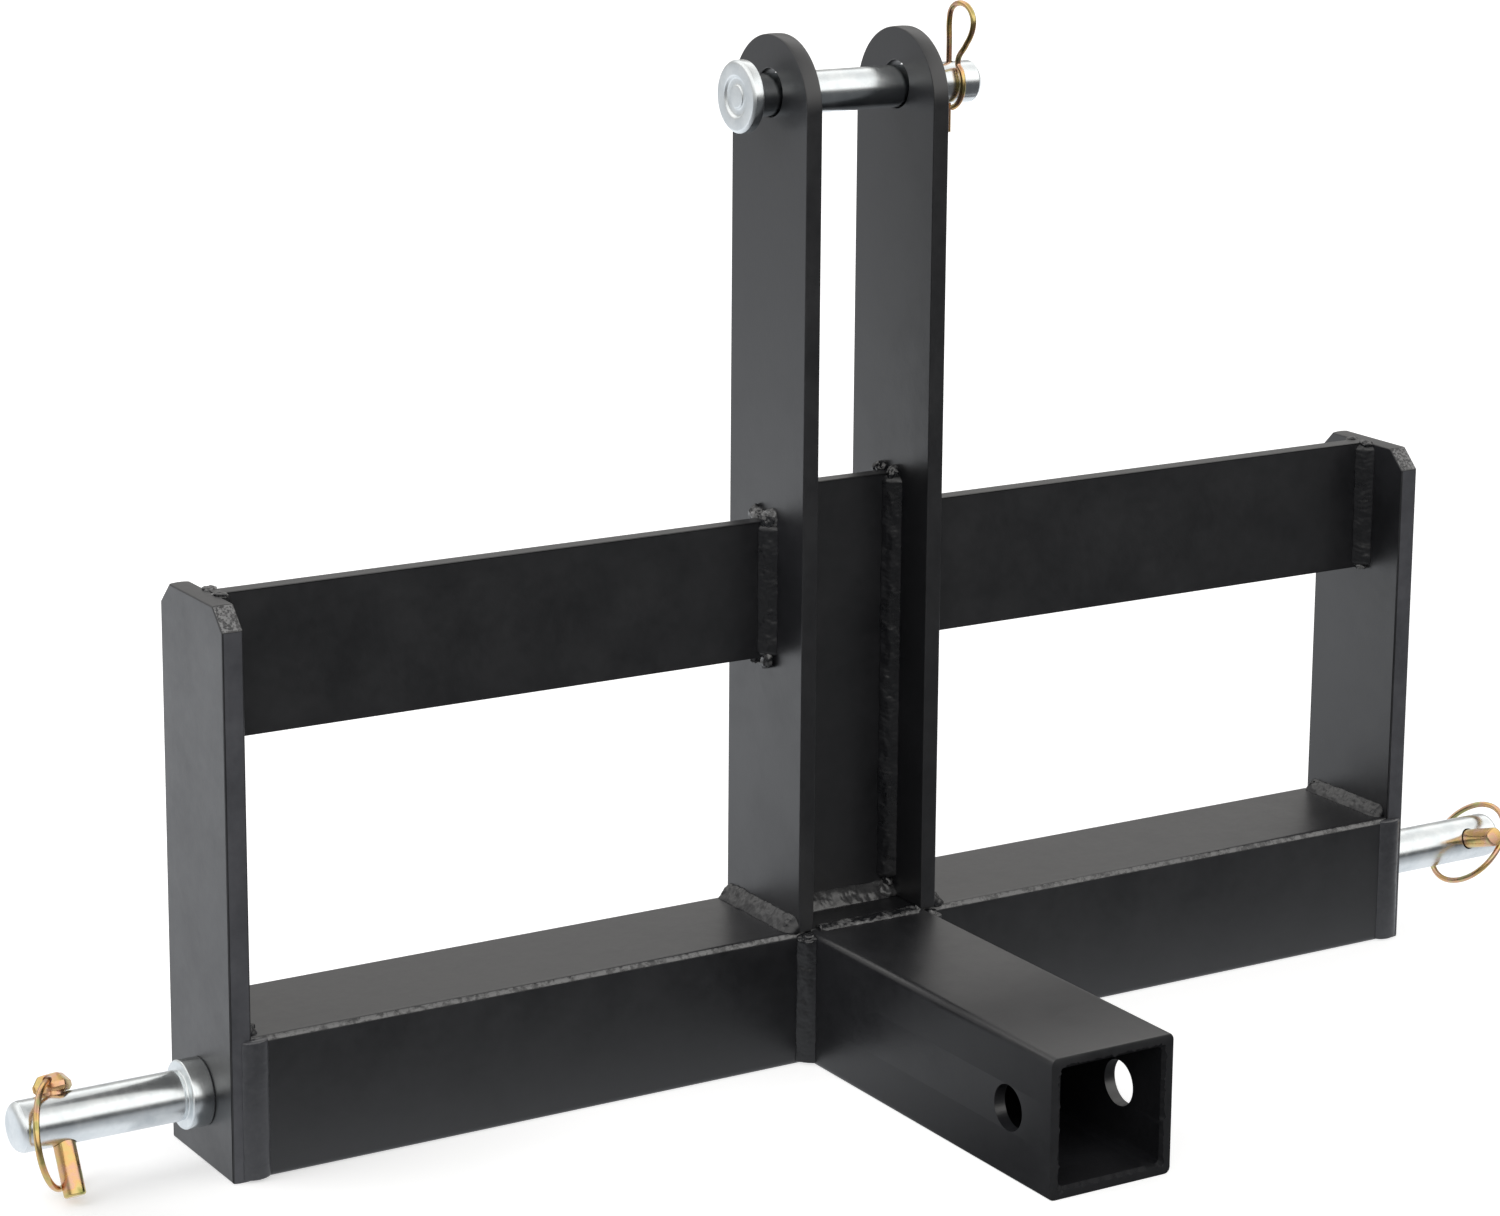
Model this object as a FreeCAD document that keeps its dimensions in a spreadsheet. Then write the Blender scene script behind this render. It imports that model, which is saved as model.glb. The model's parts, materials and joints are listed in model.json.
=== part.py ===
import FreeCAD, Part
import math
import os
import Sketcher

Vector = FreeCAD.Vector
Rotation = FreeCAD.Rotation
Placement = FreeCAD.Placement

doc = FreeCAD.newDocument("ReceiverHitch")
dims = doc.addObject("Spreadsheet::Sheet", "Dims")
dims.Label = "Dims"

# Millimetres. X runs along the crossbar, Y away from the receiver's mouth, Z up from the floor.
sizes = [
    ("tubeSide", 63.5, "outside of the crossbar and of the receiver, both square"),
    ("tubeWall", 5.5, "wall of both tubes"),
    ("tubeCorner", 3.0, "outside corner radius of both tubes"),
    ("tubeInside", 2.0, "inside corner radius of both tubes"),
    ("acrossPlates", 635.0, "over the outer faces of the two side plates"),
    ("sidePlate", 9.5, "thickness of a side plate"),
    ("plateTall", 250.0, "height of a side plate"),
    ("plateCut", 9.5, "corner cut at the top of a side plate"),
    ("receiverLong", 190.0, "receiver, from the crossbar's front face to the mouth"),
    ("mouthBevel", 1.4, "lead-in bevel inside the mouth"),
    ("mouthEdge", 0.8, "broken edge outside the mouth"),
    ("hitchHoleBack", 31.0, "hitch pin hole, centre behind the mouth"),
    ("hitchHole", 20.5, "diameter of the hitch pin hole"),
    ("mastGap", 58.4, "clear width between the two mast plates"),
    ("mastThick", 8.0, "thickness of a mast plate"),
    ("mastTop", 468.5, "top of the mast plates above the floor"),
    ("mastBoreDrop", 25.3, "top link bore, centre below the top of the mast plates"),
    ("mastBore", 22.5, "diameter of the top link bore"),
    ("barThick", 8.0, "thickness of the upper bars and of the centre web"),
    ("barTall", 63.5, "height of the upper bars"),
    ("webTop", 265.0, "top of the centre web above the floor"),
    ("linkPin", 22.0, "diameter of the lower link pins"),
    ("collar", 30.0, "diameter of a link pin's collar"),
    ("collarWide", 10.0, "width of a link pin's collar"),
    ("linkReach", 75.5, "link pin, from the collar's outer face to the tip"),
    ("linkTip", 4.5, "bevel at a link pin's tip"),
    ("linkGroove", 0.45, "depth of the groove where a link pin's shank meets its collar"),
    ("linkGrooveWide", 1.3, "width of the bottom of that groove"),
    ("lynchBack", 21.0, "cross hole in a link pin, centre back from the tip"),
    ("lynchHole", 10.5, "diameter of that cross hole"),
    ("tailDia", 19.0, "diameter of a link pin's tail inside the side plate"),
    ("tailLong", 16.0, "length of that tail"),
    ("tailPlay", 0.2, "clearance round the tail in the side plate"),
    ("tailBead", 5.0, "weld leg round the tail inside the crossbar"),
    ("lynchPin", 9.5, "diameter of a lynch pin's shank"),
    ("lynchTip", 33.0, "lynch pin, tip below the link pin's axis"),
    ("lynchSeat", 11.2, "lynch pin, underside of the head above the link pin's axis"),
    ("lynchHeadWide", 15.6, "width of a lynch pin's head, across its ring bore"),
    ("lynchHead", 11.0, "depth of a lynch pin's head, along its ring bore"),
    ("lynchHeadTall", 9.0, "height of a lynch pin's head"),
    ("lynchEdge", 2.2, "bevel round the top of a lynch pin's head"),
    ("ringPivot", 16.5, "ring bore in the head above the link pin's axis"),
    ("ringBore", 4.8, "diameter of the ring bore"),
    ("ringMean", 22.5, "mean radius of a lynch pin's ring"),
    ("ringWire", 2.8, "diameter of the ring's wire"),
    ("ringRest", 0.25, "gap between a hanging ring and its shank"),
    ("topPin", 19.0, "diameter of the top link pin"),
    ("topPinTip", 2.0, "bevel at the top link pin's tip"),
    ("topHead", 32.4, "diameter of the top link pin's head"),
    ("topHeadThick", 5.5, "thickness of that head"),
    ("topHeadEdge", 1.2, "bevel round that head"),
    ("topHeadDish", 19.0, "diameter of the dish in that head"),
    ("topDishDeep", 1.2, "depth of the dish"),
    ("topButton", 11.2, "diameter of the raised middle of the dish"),
    ("topButtonDrop", 0.45, "raised middle below the face of the head"),
    ("topHeadStand", 12.2, "gap between that head and the left mast plate at rest"),
    ("topPinRest", 0.2, "gap under the pin where it lies in its bores"),
    ("clipStand", 20.8, "cross hole in the top link pin, centre from the right mast plate"),
    ("clipBack", 12.6, "that cross hole's centre back from the pin's tip"),
    ("clipHole", 3.6, "diameter of that cross hole"),
    ("clipWire", 2.6, "wire of the hairpin clip"),
    ("clipRise", 37.0, "top of the clip's eye above the pin's axis"),
    ("clipDrop", 22.5, "end of the clip's straight leg below the pin's axis"),
    ("clipWide", 19.0, "width of the clip's eye, wire centre to wire centre"),
    ("clipHug", 11.6, "clip's bent leg from the pin's axis"),
    ("mastBead", 7.0, "weld leg up the web and along the upper bars"),
    ("footBead", 7.0, "weld leg at the foot of the mast plates and the web"),
    ("innerBead", 6.0, "weld leg between crossbar and side plates"),
    ("neckBead", 7.0, "weld leg between receiver and crossbar"),
    ("seamWide", 9.0, "width of the flat bead over the receiver's flush seam"),
    ("plateSeamWide", 12.6, "width of the flat beads over the side plates' flush seams"),
    ("seamHigh", 1.8, "height of the flat beads over the flush seams"),
    ("seamStop", 2.0, "flat beads stop short of the corners by this much"),
]
for row, (alias, value, note) in enumerate(sizes, start=1):
    dims.set(f"A{row}", note)
    dims.set(f"B{row}", str(value))
    dims.setAlias(f"B{row}", alias)
doc.recompute()
size = {alias: value for alias, value, note in sizes}

alongX = Vector(1, 0, 0)
alongY = Vector(0, 1, 0)
alongZ = Vector(0, 0, 1)
left = -1
right = 1
sides = (("left", left), ("right", right))
halfTube = "Dims.tubeSide / 2"
plateOut = "Dims.acrossPlates / 2"
plateIn = "(Dims.acrossPlates / 2 - Dims.sidePlate)"
mastIn = "Dims.mastGap / 2"
mastOut = "(Dims.mastGap / 2 + Dims.mastThick)"
boreHeight = "(Dims.mastTop - Dims.mastBoreDrop)"
topAxis = "(Dims.mastTop - Dims.mastBoreDrop - Dims.mastBore / 2 + Dims.topPin / 2 + Dims.topPinRest)"
barBottom = "(Dims.plateTall - Dims.barTall)"
barFront = "Dims.barThick / 2"
holeOut = "(Dims.acrossPlates / 2 + Dims.collarWide + Dims.linkReach - Dims.lynchBack)"
clipAlong = "(Dims.topHeadStand + Dims.mastGap + 2 * Dims.mastThick + Dims.clipStand)"

# How far each lynch pin leans from hanging straight down, towards the mouth, and how its
# ring is turned about the shank.
lynchLean = {"left": 29.0, "right": 108.1}
ringTurn = {"left": 142.0, "right": 39.0}


def newBody(label):
    owner = doc.addObject("PartDesign::Body", label)
    owner.Label = label
    return owner


def bindPlace(thing, x="0", y="0", z="0"):
    thing.setExpression("Placement.Base.x", x)
    thing.setExpression("Placement.Base.y", y)
    thing.setExpression("Placement.Base.z", z)


def newSketch(owner, role, name):
    sketch = owner.newObject("Sketcher::SketchObject", name)
    plane = next(item for item in owner.Origin.OriginFeatures if item.Role == role)
    sketch.AttachmentSupport = (plane, [""])
    sketch.MapMode = "FlatFace"
    return sketch


def pin(sketch, kind, what, point, tag, expression, start):
    index = sketch.addConstraint(Sketcher.Constraint(kind, -1, 1, what, point, start))
    sketch.renameConstraint(index, tag)
    sketch.setExpression(f"Constraints.{tag}", expression)


def addLoop(sketch, corners, tag, closed=True):
    count = len(corners)
    spots = [
        Vector(math.cos(2 * math.pi * k / count), math.sin(2 * math.pi * k / count), 0) * 50
        for k in range(count)
    ]
    runs = count if closed else count - 1
    first = sketch.GeometryCount
    for k in range(runs):
        sketch.addGeometry(Part.LineSegment(spots[k], spots[(k + 1) % count]), False)
    for k in range(runs - 1):
        sketch.addConstraint(Sketcher.Constraint("Coincident", first + k, 2, first + k + 1, 1))
    if closed:
        sketch.addConstraint(Sketcher.Constraint("Coincident", first + runs - 1, 2, first, 1))
    for k, (across, rise) in enumerate(corners):
        line = first + min(k, runs - 1)
        end = 1 if k < runs else 2
        pin(sketch, "DistanceX", line, end, f"{tag}x{k}", across, spots[k].x)
        pin(sketch, "DistanceY", line, end, f"{tag}y{k}", rise, spots[k].y)


def addRound(sketch, across, rise, radius, tag, start=(10.0, 10.0, 5.0)):
    what = sketch.addGeometry(
        Part.Circle(Vector(start[0], start[1], 0), Vector(0, 0, 1), start[2]), False
    )
    pin(sketch, "DistanceX", what, 3, f"{tag}x", across, start[0])
    pin(sketch, "DistanceY", what, 3, f"{tag}y", rise, start[1])
    index = sketch.addConstraint(Sketcher.Constraint("Radius", what, start[2]))
    sketch.renameConstraint(index, f"{tag}r")
    sketch.setExpression(f"Constraints.{tag}r", radius)


def pad(owner, sketch, length, name):
    feature = owner.newObject("PartDesign::Pad", name)
    feature.Profile = sketch
    feature.setExpression("Length", length)
    sketch.Visibility = False
    doc.recompute()
    return feature


def drill(owner, sketch, name):
    feature = owner.newObject("PartDesign::Pocket", name)
    feature.Profile = sketch
    feature.Type = "ThroughAll"
    feature.SideType = "Symmetric"
    sketch.Visibility = False
    doc.recompute()
    return feature


def oblong(wide, deep):
    return [
        (f"-({wide})", f"-({deep})"),
        (wide, f"-({deep})"),
        (wide, deep),
        (f"-({wide})", deep),
    ]


def square(half):
    return oblong(half, half)


def flats(count, radius, across="0", rise="0"):
    corners = []
    for k in range(count):
        angle = math.radians(360 * (k + 0.5) / count)
        corners.append((
            f"{across} + {math.cos(angle):.8f} * {radius}",
            f"{rise} + {math.sin(angle):.8f} * {radius}",
        ))
    return corners


# A wire follows a path of straight runs with its section square to the first run, and has eight
# flats.
def bendWire(owner, path, section, centre, name):
    addLoop(section, flats(8, f"Dims.{name}Wire / 2", centre), "wire")
    doc.recompute()
    sweep = owner.newObject("PartDesign::AdditivePipe", f"{name}_sweep")
    sweep.Profile = section
    sweep.Spine = path
    sweep.Transition = "Right corner"
    section.Visibility = False
    path.Visibility = False
    doc.recompute()


def edgesWhere(feature, test):
    return [f"Edge{k}" for k, edge in enumerate(feature.Shape.Edges, start=1) if test(edge)]


def runsAlong(edge, axis):
    start = edge.Vertexes[0].Point
    end = edge.Vertexes[-1].Point
    run = end - start
    return edge.Curve.TypeId == "Part::GeomLine" and abs(run.dot(axis)) > 0.99 * run.Length > 1


def dress(owner, kind, base, edges, amount, name):
    feature = owner.newObject(kind, name)
    feature.Base = (base, edges)
    feature.setExpression("Radius" if kind.endswith("Fillet") else "Size", amount)
    doc.recompute()
    return feature


def tube(label, role, axis, length):
    owner = newBody(label)
    sketch = newSketch(owner, role, f"{label}_section")
    addLoop(sketch, square(halfTube), "outer")
    addLoop(sketch, square(f"{halfTube} - Dims.tubeWall"), "inner")
    run = pad(owner, sketch, length, f"{label}_run")
    midWall = (size["tubeSide"] - size["tubeWall"]) / 2
    across = [way for way in (alongX, alongY, alongZ) if not way.dot(axis)]

    def reach(edge):
        return max(abs(edge.CenterOfMass.dot(way)) for way in across)

    outside = edgesWhere(run, lambda edge: runsAlong(edge, axis) and reach(edge) > midWall)
    run = dress(owner, "PartDesign::Fillet", run, outside, "Dims.tubeCorner", f"{label}_corners")
    inside = edgesWhere(run, lambda edge: runsAlong(edge, axis) and reach(edge) < midWall)
    run = dress(owner, "PartDesign::Fillet", run, inside, "Dims.tubeInside", f"{label}_inside")
    return owner, run


# Crossbar: a square tube that fills the space between the side plates.
crossbar, crossbarRun = tube("crossbar_tube", "YZ_Plane", alongX, f"2 * {plateIn}")
bindPlace(crossbar, f"-{plateIn}", "0", halfTube)

# Receiver: the same tube, square to the crossbar, with its pin hole near the mouth.
receiver, receiverRun = tube("receiver_tube", "XZ_Plane", alongY, "Dims.receiverLong")
holeSketch = newSketch(receiver, "YZ_Plane", "receiver_hole")
addRound(
    holeSketch, "-(Dims.receiverLong - Dims.hitchHoleBack)", "0", "Dims.hitchHole / 2", "hole",
    (-150.0, 0.0, 8.0),
)
receiverRun = drill(receiver, holeSketch, "receiver_pin_hole")
mouth = -size["receiverLong"]


def atMouth(edge):
    return abs(edge.CenterOfMass.y - mouth) < 0.01


def nearBore(edge):
    middle = edge.CenterOfMass
    return max(abs(middle.x), abs(middle.z)) < size["tubeSide"] / 2 - size["tubeWall"] + 0.1


inMouth = edgesWhere(receiverRun, lambda edge: atMouth(edge) and nearBore(edge))
receiverRun = dress(
    receiver, "PartDesign::Chamfer", receiverRun, inMouth, "Dims.mouthBevel", "receiver_lead_in"
)
onMouth = edgesWhere(
    receiverRun,
    lambda edge: atMouth(edge)
    and max(abs(edge.CenterOfMass.x), abs(edge.CenterOfMass.z)) > size["tubeSide"] / 2 - 2,
)
receiverRun = dress(
    receiver, "PartDesign::Chamfer", receiverRun, onMouth, "Dims.mouthEdge", "receiver_edge"
)
bindPlace(receiver, "0", f"-{halfTube}", halfTube)

# Side plates: flat bar on edge, top corners cut off, one hole for the link pin's tail.
for name, side in sides:
    label = f"side_plate_{name}"
    plate = newBody(label)
    outline = newSketch(plate, "YZ_Plane", f"{label}_outline")
    addLoop(
        outline,
        [
            (f"-{halfTube}", "0"),
            (halfTube, "0"),
            (halfTube, "Dims.plateTall - Dims.plateCut"),
            (f"{halfTube} - Dims.plateCut", "Dims.plateTall"),
            (f"-{halfTube} + Dims.plateCut", "Dims.plateTall"),
            (f"-{halfTube}", "Dims.plateTall - Dims.plateCut"),
        ],
        "edge",
    )
    addRound(outline, "0", halfTube, "Dims.tailDia / 2 + Dims.tailPlay", "tail", (0.0, 30.0, 9.0))
    pad(plate, outline, "Dims.sidePlate", f"{label}_flat")
    bindPlace(plate, f"-{plateOut}" if side == left else plateIn)

# Mast plates: round topped, bored for the top link pin.
for name, side in sides:
    label = f"mast_plate_{name}"
    mast = newBody(label)
    flat = newSketch(mast, "YZ_Plane", f"{label}_flat")
    shoulder = f"Dims.mastTop - {halfTube}"
    addLoop(
        flat,
        [
            (f"-{halfTube}", "Dims.tubeSide"),
            (halfTube, "Dims.tubeSide"),
            (halfTube, shoulder),
            (f"-{halfTube}", shoulder),
        ],
        "edge",
    )
    pad(mast, flat, "Dims.mastThick", f"{label}_bar")
    crown = newSketch(mast, "YZ_Plane", f"{label}_crown")
    addRound(crown, "0", shoulder, halfTube, "crown", (0.0, 430.0, 30.0))
    pad(mast, crown, "Dims.mastThick", f"{label}_top")
    bore = newSketch(mast, "YZ_Plane", f"{label}_bore")
    addRound(bore, "0", boreHeight, "Dims.mastBore / 2", "bore", (0.0, 440.0, 10.0))
    drill(mast, bore, f"{label}_hole")
    bindPlace(mast, f"-{mastOut}" if side == left else mastIn)

# Upper bars and centre web: flat bar on edge, in the middle of the frame's depth.
strips = [
    ("upper_bar_left", f"-{plateIn}", f"{plateIn} - {mastOut}", barBottom, "Dims.plateTall"),
    ("upper_bar_right", mastOut, f"{plateIn} - {mastOut}", barBottom, "Dims.plateTall"),
    ("centre_web", f"-{mastIn}", "Dims.mastGap", "Dims.tubeSide", "Dims.webTop"),
]
for label, start, length, low, high in strips:
    strip = newBody(label)
    section = newSketch(strip, "YZ_Plane", f"{label}_section")
    addLoop(
        section,
        [(f"-{barFront}", low), (barFront, low), (barFront, high), (f"-{barFront}", high)],
        "edge",
    )
    pad(strip, section, length, f"{label}_run")
    bindPlace(strip, start)


def turned(label, corners, turn=None):
    owner = newBody(label)
    profile = newSketch(owner, "XY_Plane", f"{label}_profile")
    addLoop(profile, corners, "edge")
    feature = owner.newObject("PartDesign::Revolution", f"{label}_turned")
    feature.Profile = profile
    feature.ReferenceAxis = (profile, ["H_Axis"])
    feature.Angle = 360
    profile.Visibility = False
    if turn is not None:
        owner.Placement = Placement(Vector(0, 0, 0), turn)
    doc.recompute()
    return owner


def hang(name):
    return Rotation(alongX, -lynchLean[name])


# Lower link pins: turned bar with a collar, a tail through the side plate and a cross hole.
tailFlats = 20
for name, side in sides:
    label = f"lower_link_pin_{name}"
    facing = Rotation(alongZ, 180 if side == left else 0)
    linkPin = turned(
        label,
        [
            ("-Dims.tailLong", "0"),
            ("Dims.collarWide + Dims.linkReach", "0"),
            ("Dims.collarWide + Dims.linkReach", "Dims.linkPin / 2 - Dims.linkTip"),
            ("Dims.collarWide + Dims.linkReach - Dims.linkTip", "Dims.linkPin / 2"),
            ("Dims.collarWide + Dims.linkGrooveWide + Dims.linkGroove", "Dims.linkPin / 2"),
            ("Dims.collarWide + Dims.linkGrooveWide", "Dims.linkPin / 2 - Dims.linkGroove"),
            ("Dims.collarWide", "Dims.linkPin / 2 - Dims.linkGroove"),
            ("Dims.collarWide", "Dims.collar / 2"),
            ("0", "Dims.collar / 2"),
            ("0", "Dims.tailDia / 2"),
            ("-Dims.tailLong", "Dims.tailDia / 2"),
        ],
        hang(name).multiply(facing),
    )
    cross = newSketch(linkPin, "XY_Plane", f"{label}_cross")
    addRound(
        cross, "Dims.collarWide + Dims.linkReach - Dims.lynchBack", "0", "Dims.lynchHole / 2",
        "hole", (60.0, 0.0, 5.0),
    )
    drill(linkPin, cross, f"{label}_cross_hole")
    bindPlace(linkPin, f"-{plateOut}" if side == left else plateOut, "0", halfTube)

    bead = f"tail_weld_{name}"
    skirt = doc.addObject("Part::Prism", f"{bead}_skirt")
    skirt.Polygon = tailFlats
    skirt.setExpression("Circumradius", "Dims.tailDia / 2 + Dims.tailBead")
    skirt.setExpression("Height", "Dims.tailBead")
    core = doc.addObject("Part::Cylinder", f"{bead}_core")
    core.setExpression("Radius", "Dims.tailDia / 2")
    core.setExpression("Height", "Dims.tailBead")
    weld = doc.addObject("Part::Cut", bead)
    weld.Base = skirt
    weld.Tool = core
    weld.Label = bead
    weld.Placement = Placement(Vector(0, 0, 0), Rotation(alongY, -90 * side))
    bindPlace(weld, f"-{plateIn}" if side == left else plateIn, "0", halfTube)

# Lynch pins: a shank through the link pin, an oblong head bored for its ring, and the ring,
# which lies against the shank's outer side. The head's own up is the body's Z.
standOff = size["lynchPin"] / 2 + size["ringWire"] / 2 + size["ringRest"]
ringLean = math.degrees(math.asin(standOff / (2 * size["ringMean"])))
ringRuns = 28
for name, side in sides:
    label = f"lynch_pin_{name}"
    turn = hang(name).multiply(Rotation(alongZ, ringTurn[name]))
    lynch = newBody(label)
    lynch.Placement = Placement(Vector(0, 0, 0), turn)
    shankSketch = newSketch(lynch, "XY_Plane", f"{label}_shank")
    addRound(shankSketch, "0", "0", "Dims.lynchPin / 2", "shank", (0.0, 0.0, 5.0))
    shankSketch.setExpression("AttachmentOffset.Base.z", "-Dims.lynchTip")
    shank = pad(lynch, shankSketch, "Dims.lynchTip + Dims.lynchSeat", f"{label}_rod")
    tip = edgesWhere(
        shank, lambda edge: abs(edge.CenterOfMass.z + size["lynchTip"]) < 0.01
    )
    dress(lynch, "PartDesign::Chamfer", shank, tip, "Dims.lynchPin / 10", f"{label}_tip")
    headSketch = newSketch(lynch, "XY_Plane", f"{label}_head")
    addLoop(headSketch, oblong("Dims.lynchHeadWide / 2", "Dims.lynchHead / 2"), "edge")
    headSketch.setExpression("AttachmentOffset.Base.z", "Dims.lynchSeat")
    head = pad(lynch, headSketch, "Dims.lynchHeadTall", f"{label}_block")
    crest = size["lynchSeat"] + size["lynchHeadTall"]
    rim = edgesWhere(
        head,
        lambda edge: abs(edge.CenterOfMass.z - crest) < 0.01
        or (runsAlong(edge, alongZ) and edge.CenterOfMass.z > size["lynchSeat"]),
    )
    dress(lynch, "PartDesign::Chamfer", head, rim, "Dims.lynchEdge", f"{label}_bevel")
    eye = newSketch(lynch, "XZ_Plane", f"{label}_eye")
    addRound(eye, "0", "Dims.ringPivot", "Dims.ringBore / 2", "eye", (0.0, 16.0, 2.0))
    drill(lynch, eye, f"{label}_ring_bore")
    bindPlace(lynch, f"-{holeOut}" if side == left else holeOut, "0", halfTube)

    label = f"lynch_ring_{name}"
    ring = newBody(label)
    path = newSketch(ring, "XY_Plane", f"{label}_path")
    inFlat = f"{math.cos(math.pi / ringRuns):.8f} * Dims.ringMean"
    addLoop(path, [(inFlat, "0"), *flats(ringRuns, "Dims.ringMean")], "run")
    bendWire(ring, path, newSketch(ring, "XZ_Plane", f"{label}_section"), inFlat, "ring")
    toPivot = turn.multVec(Vector(0, 0, 1))
    toCentre = turn.multVec(Rotation(alongY, -ringLean).multVec(Vector(0, 0, -1)))
    ring.Placement = Placement(
        Vector(0, 0, 0), turn.multiply(Rotation(alongY, -ringLean)).multiply(Rotation(alongY, 90))
    )
    base = [f"{'-' if side == left else ''}{holeOut}", "0", halfTube]
    spot = [
        f"{base[k]} + Dims.ringPivot * ({toPivot[k]:.8f}) + Dims.ringMean * ({toCentre[k]:.8f})"
        for k in range(3)
    ]
    bindPlace(ring, spot[0], spot[1], spot[2])

# Top link pin: dished head on the left, cross hole for the clip on the right.
headBack = "Dims.topHeadThick"
tipAt = f"Dims.topHeadThick + {clipAlong} + Dims.clipBack"
topPin = turned(
    "top_link_pin",
    [
        ("Dims.topButtonDrop", "0"),
        (tipAt, "0"),
        (tipAt, "Dims.topPin / 2 - Dims.topPinTip"),
        (f"{tipAt} - Dims.topPinTip", "Dims.topPin / 2"),
        (headBack, "Dims.topPin / 2"),
        (headBack, "Dims.topHead / 2"),
        ("Dims.topHeadEdge", "Dims.topHead / 2"),
        ("0", "Dims.topHead / 2 - Dims.topHeadEdge"),
        ("0", "Dims.topHeadDish / 2"),
        ("Dims.topDishDeep", "Dims.topHeadDish / 2 - Dims.topDishDeep"),
        ("Dims.topDishDeep", "Dims.topButton / 2"),
        ("Dims.topButtonDrop", "Dims.topButton / 2 - (Dims.topDishDeep - Dims.topButtonDrop)"),
    ],
)
cross = newSketch(topPin, "XY_Plane", "top_link_pin_cross")
addRound(
    cross, f"Dims.topHeadThick + {clipAlong}", "0", "Dims.clipHole / 2", "hole", (110.0, 0.0, 2.0)
)
drill(topPin, cross, "top_link_pin_clip_hole")
bindPlace(topPin, f"-{mastOut} - Dims.topHeadStand - Dims.topHeadThick", "0", topAxis)

# Hairpin clip: one wire. Its straight leg stands in the pin's cross hole and its bent leg
# hugs the pin on the mouth's side. Each corner is a share of a width and a share of a height.
clip = newBody("hairpin_clip")
clipPath = newSketch(clip, "YZ_Plane", "hairpin_clip_path")
corners = [("0", "-Dims.clipDrop"), ("0", "0.80 * Dims.clipRise")]
eyeShares = [
    (0.06, 0.89), (0.20, 0.955), (0.38, 0.985), (0.58, 0.985), (0.78, 0.95), (0.92, 0.885),
    (0.99, 0.80), (0.97, 0.70), (0.86, 0.59), (0.70, 0.49),
]
for across, rise in eyeShares:
    corners.append((f"-{across} * Dims.clipWide", f"{rise} * Dims.clipRise"))
hugAngles = [52.0, 30.0, 8.0, -14.0, -36.0, -58.0, -74.0]
for angle in hugAngles:
    cosine = math.cos(math.radians(angle))
    sine = math.sin(math.radians(angle))
    corners.append((f"-{cosine:.6f} * Dims.clipHug", f"{sine:.6f} * Dims.clipHug"))
addLoop(clipPath, corners, "wire", closed=False)
wire = newSketch(clip, "XY_Plane", "hairpin_clip_wire")
wire.setExpression("AttachmentOffset.Base.z", "-Dims.clipDrop")
bendWire(clip, clipPath, wire, "0", "clip")
bindPlace(clip, f"{mastOut} + Dims.clipStand", "0", topAxis)


# Weld beads. A fillet bead is a quarter round that fills the corner between two faces: its
# corner line starts at a point, runs along one way, and its two flats lie along the others.
def fillet(label, leg, length, corner, first, second):
    bead = doc.addObject("Part::Cylinder", label)
    bead.Label = label
    bead.Angle = 90
    bead.setExpression("Radius", leg)
    bead.setExpression("Height", length)
    bead.Placement = Placement(Vector(0, 0, 0), Rotation(first, second, first.cross(second), "XYZ"))
    bindPlace(bead, corner[0], corner[1], corner[2])


front = -alongY
back = alongY
up = alongZ
for name, side in sides:
    sign = "-" if side == left else ""
    out = alongX * side
    inward = -out
    # Quarter rounds whose corner line runs up start low; those along Y start at one end.
    for place, way in (("front", front), ("rear", back)):
        spread = "-" if way == front else ""
        upwards = (out.cross(way)).z > 0
        barSide = (out, way) if upwards else (way, out)
        fillet(
            f"weld_bar_mast_{name}_{place}", "Dims.mastBead", "Dims.barTall",
            (f"{sign}{mastOut}", f"{spread}{barFront}", barBottom), barSide[0], barSide[1],
        )
        plateSide = (way, inward) if upwards else (inward, way)
        fillet(
            f"weld_bar_plate_{name}_{place}", "Dims.mastBead", "Dims.barTall",
            (f"{sign}{plateIn}", f"{spread}{barFront}", barBottom), plateSide[0], plateSide[1],
        )
        webSide = (way, inward) if upwards else (inward, way)
        fillet(
            f"weld_web_mast_{name}_{place}", "Dims.mastBead",
            "Dims.webTop - Dims.tubeSide - Dims.footBead",
            (f"{sign}{mastIn}", f"{spread}{barFront}", "Dims.tubeSide + Dims.footBead"),
            webSide[0], webSide[1],
        )
    forward = (out.cross(up)).y > 0
    footSide = (out, up) if forward else (up, out)
    fillet(
        f"weld_mast_foot_{name}", "Dims.footBead", "Dims.tubeSide",
        (f"{sign}{mastOut}", f"-{halfTube}", "Dims.tubeSide"), footSide[0], footSide[1],
    )
    innerSide = (up, inward) if forward else (inward, up)
    fillet(
        f"weld_crossbar_plate_{name}", "Dims.innerBead", "Dims.tubeSide - 2 * Dims.tubeCorner",
        (f"{sign}{plateIn}", f"-{halfTube} + Dims.tubeCorner", "Dims.tubeSide"),
        innerSide[0], innerSide[1],
    )
    upwards = (out.cross(front)).z > 0
    neckSide = (out, front) if upwards else (front, out)
    fillet(
        f"weld_receiver_{name}", "Dims.neckBead", "Dims.tubeSide - 2 * Dims.tubeCorner",
        (f"{sign}{halfTube}", f"-{halfTube}", "Dims.tubeCorner"), neckSide[0], neckSide[1],
    )
for place, way in (("front", front), ("rear", back)):
    spread = "-" if way == front else ""
    footSide = (way, up) if way.cross(up).x > 0 else (up, way)
    fillet(
        f"weld_web_foot_{place}", "Dims.footBead", "Dims.mastGap",
        (f"-{mastIn}", f"{spread}{barFront}", "Dims.tubeSide"), footSide[0], footSide[1],
    )


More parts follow.
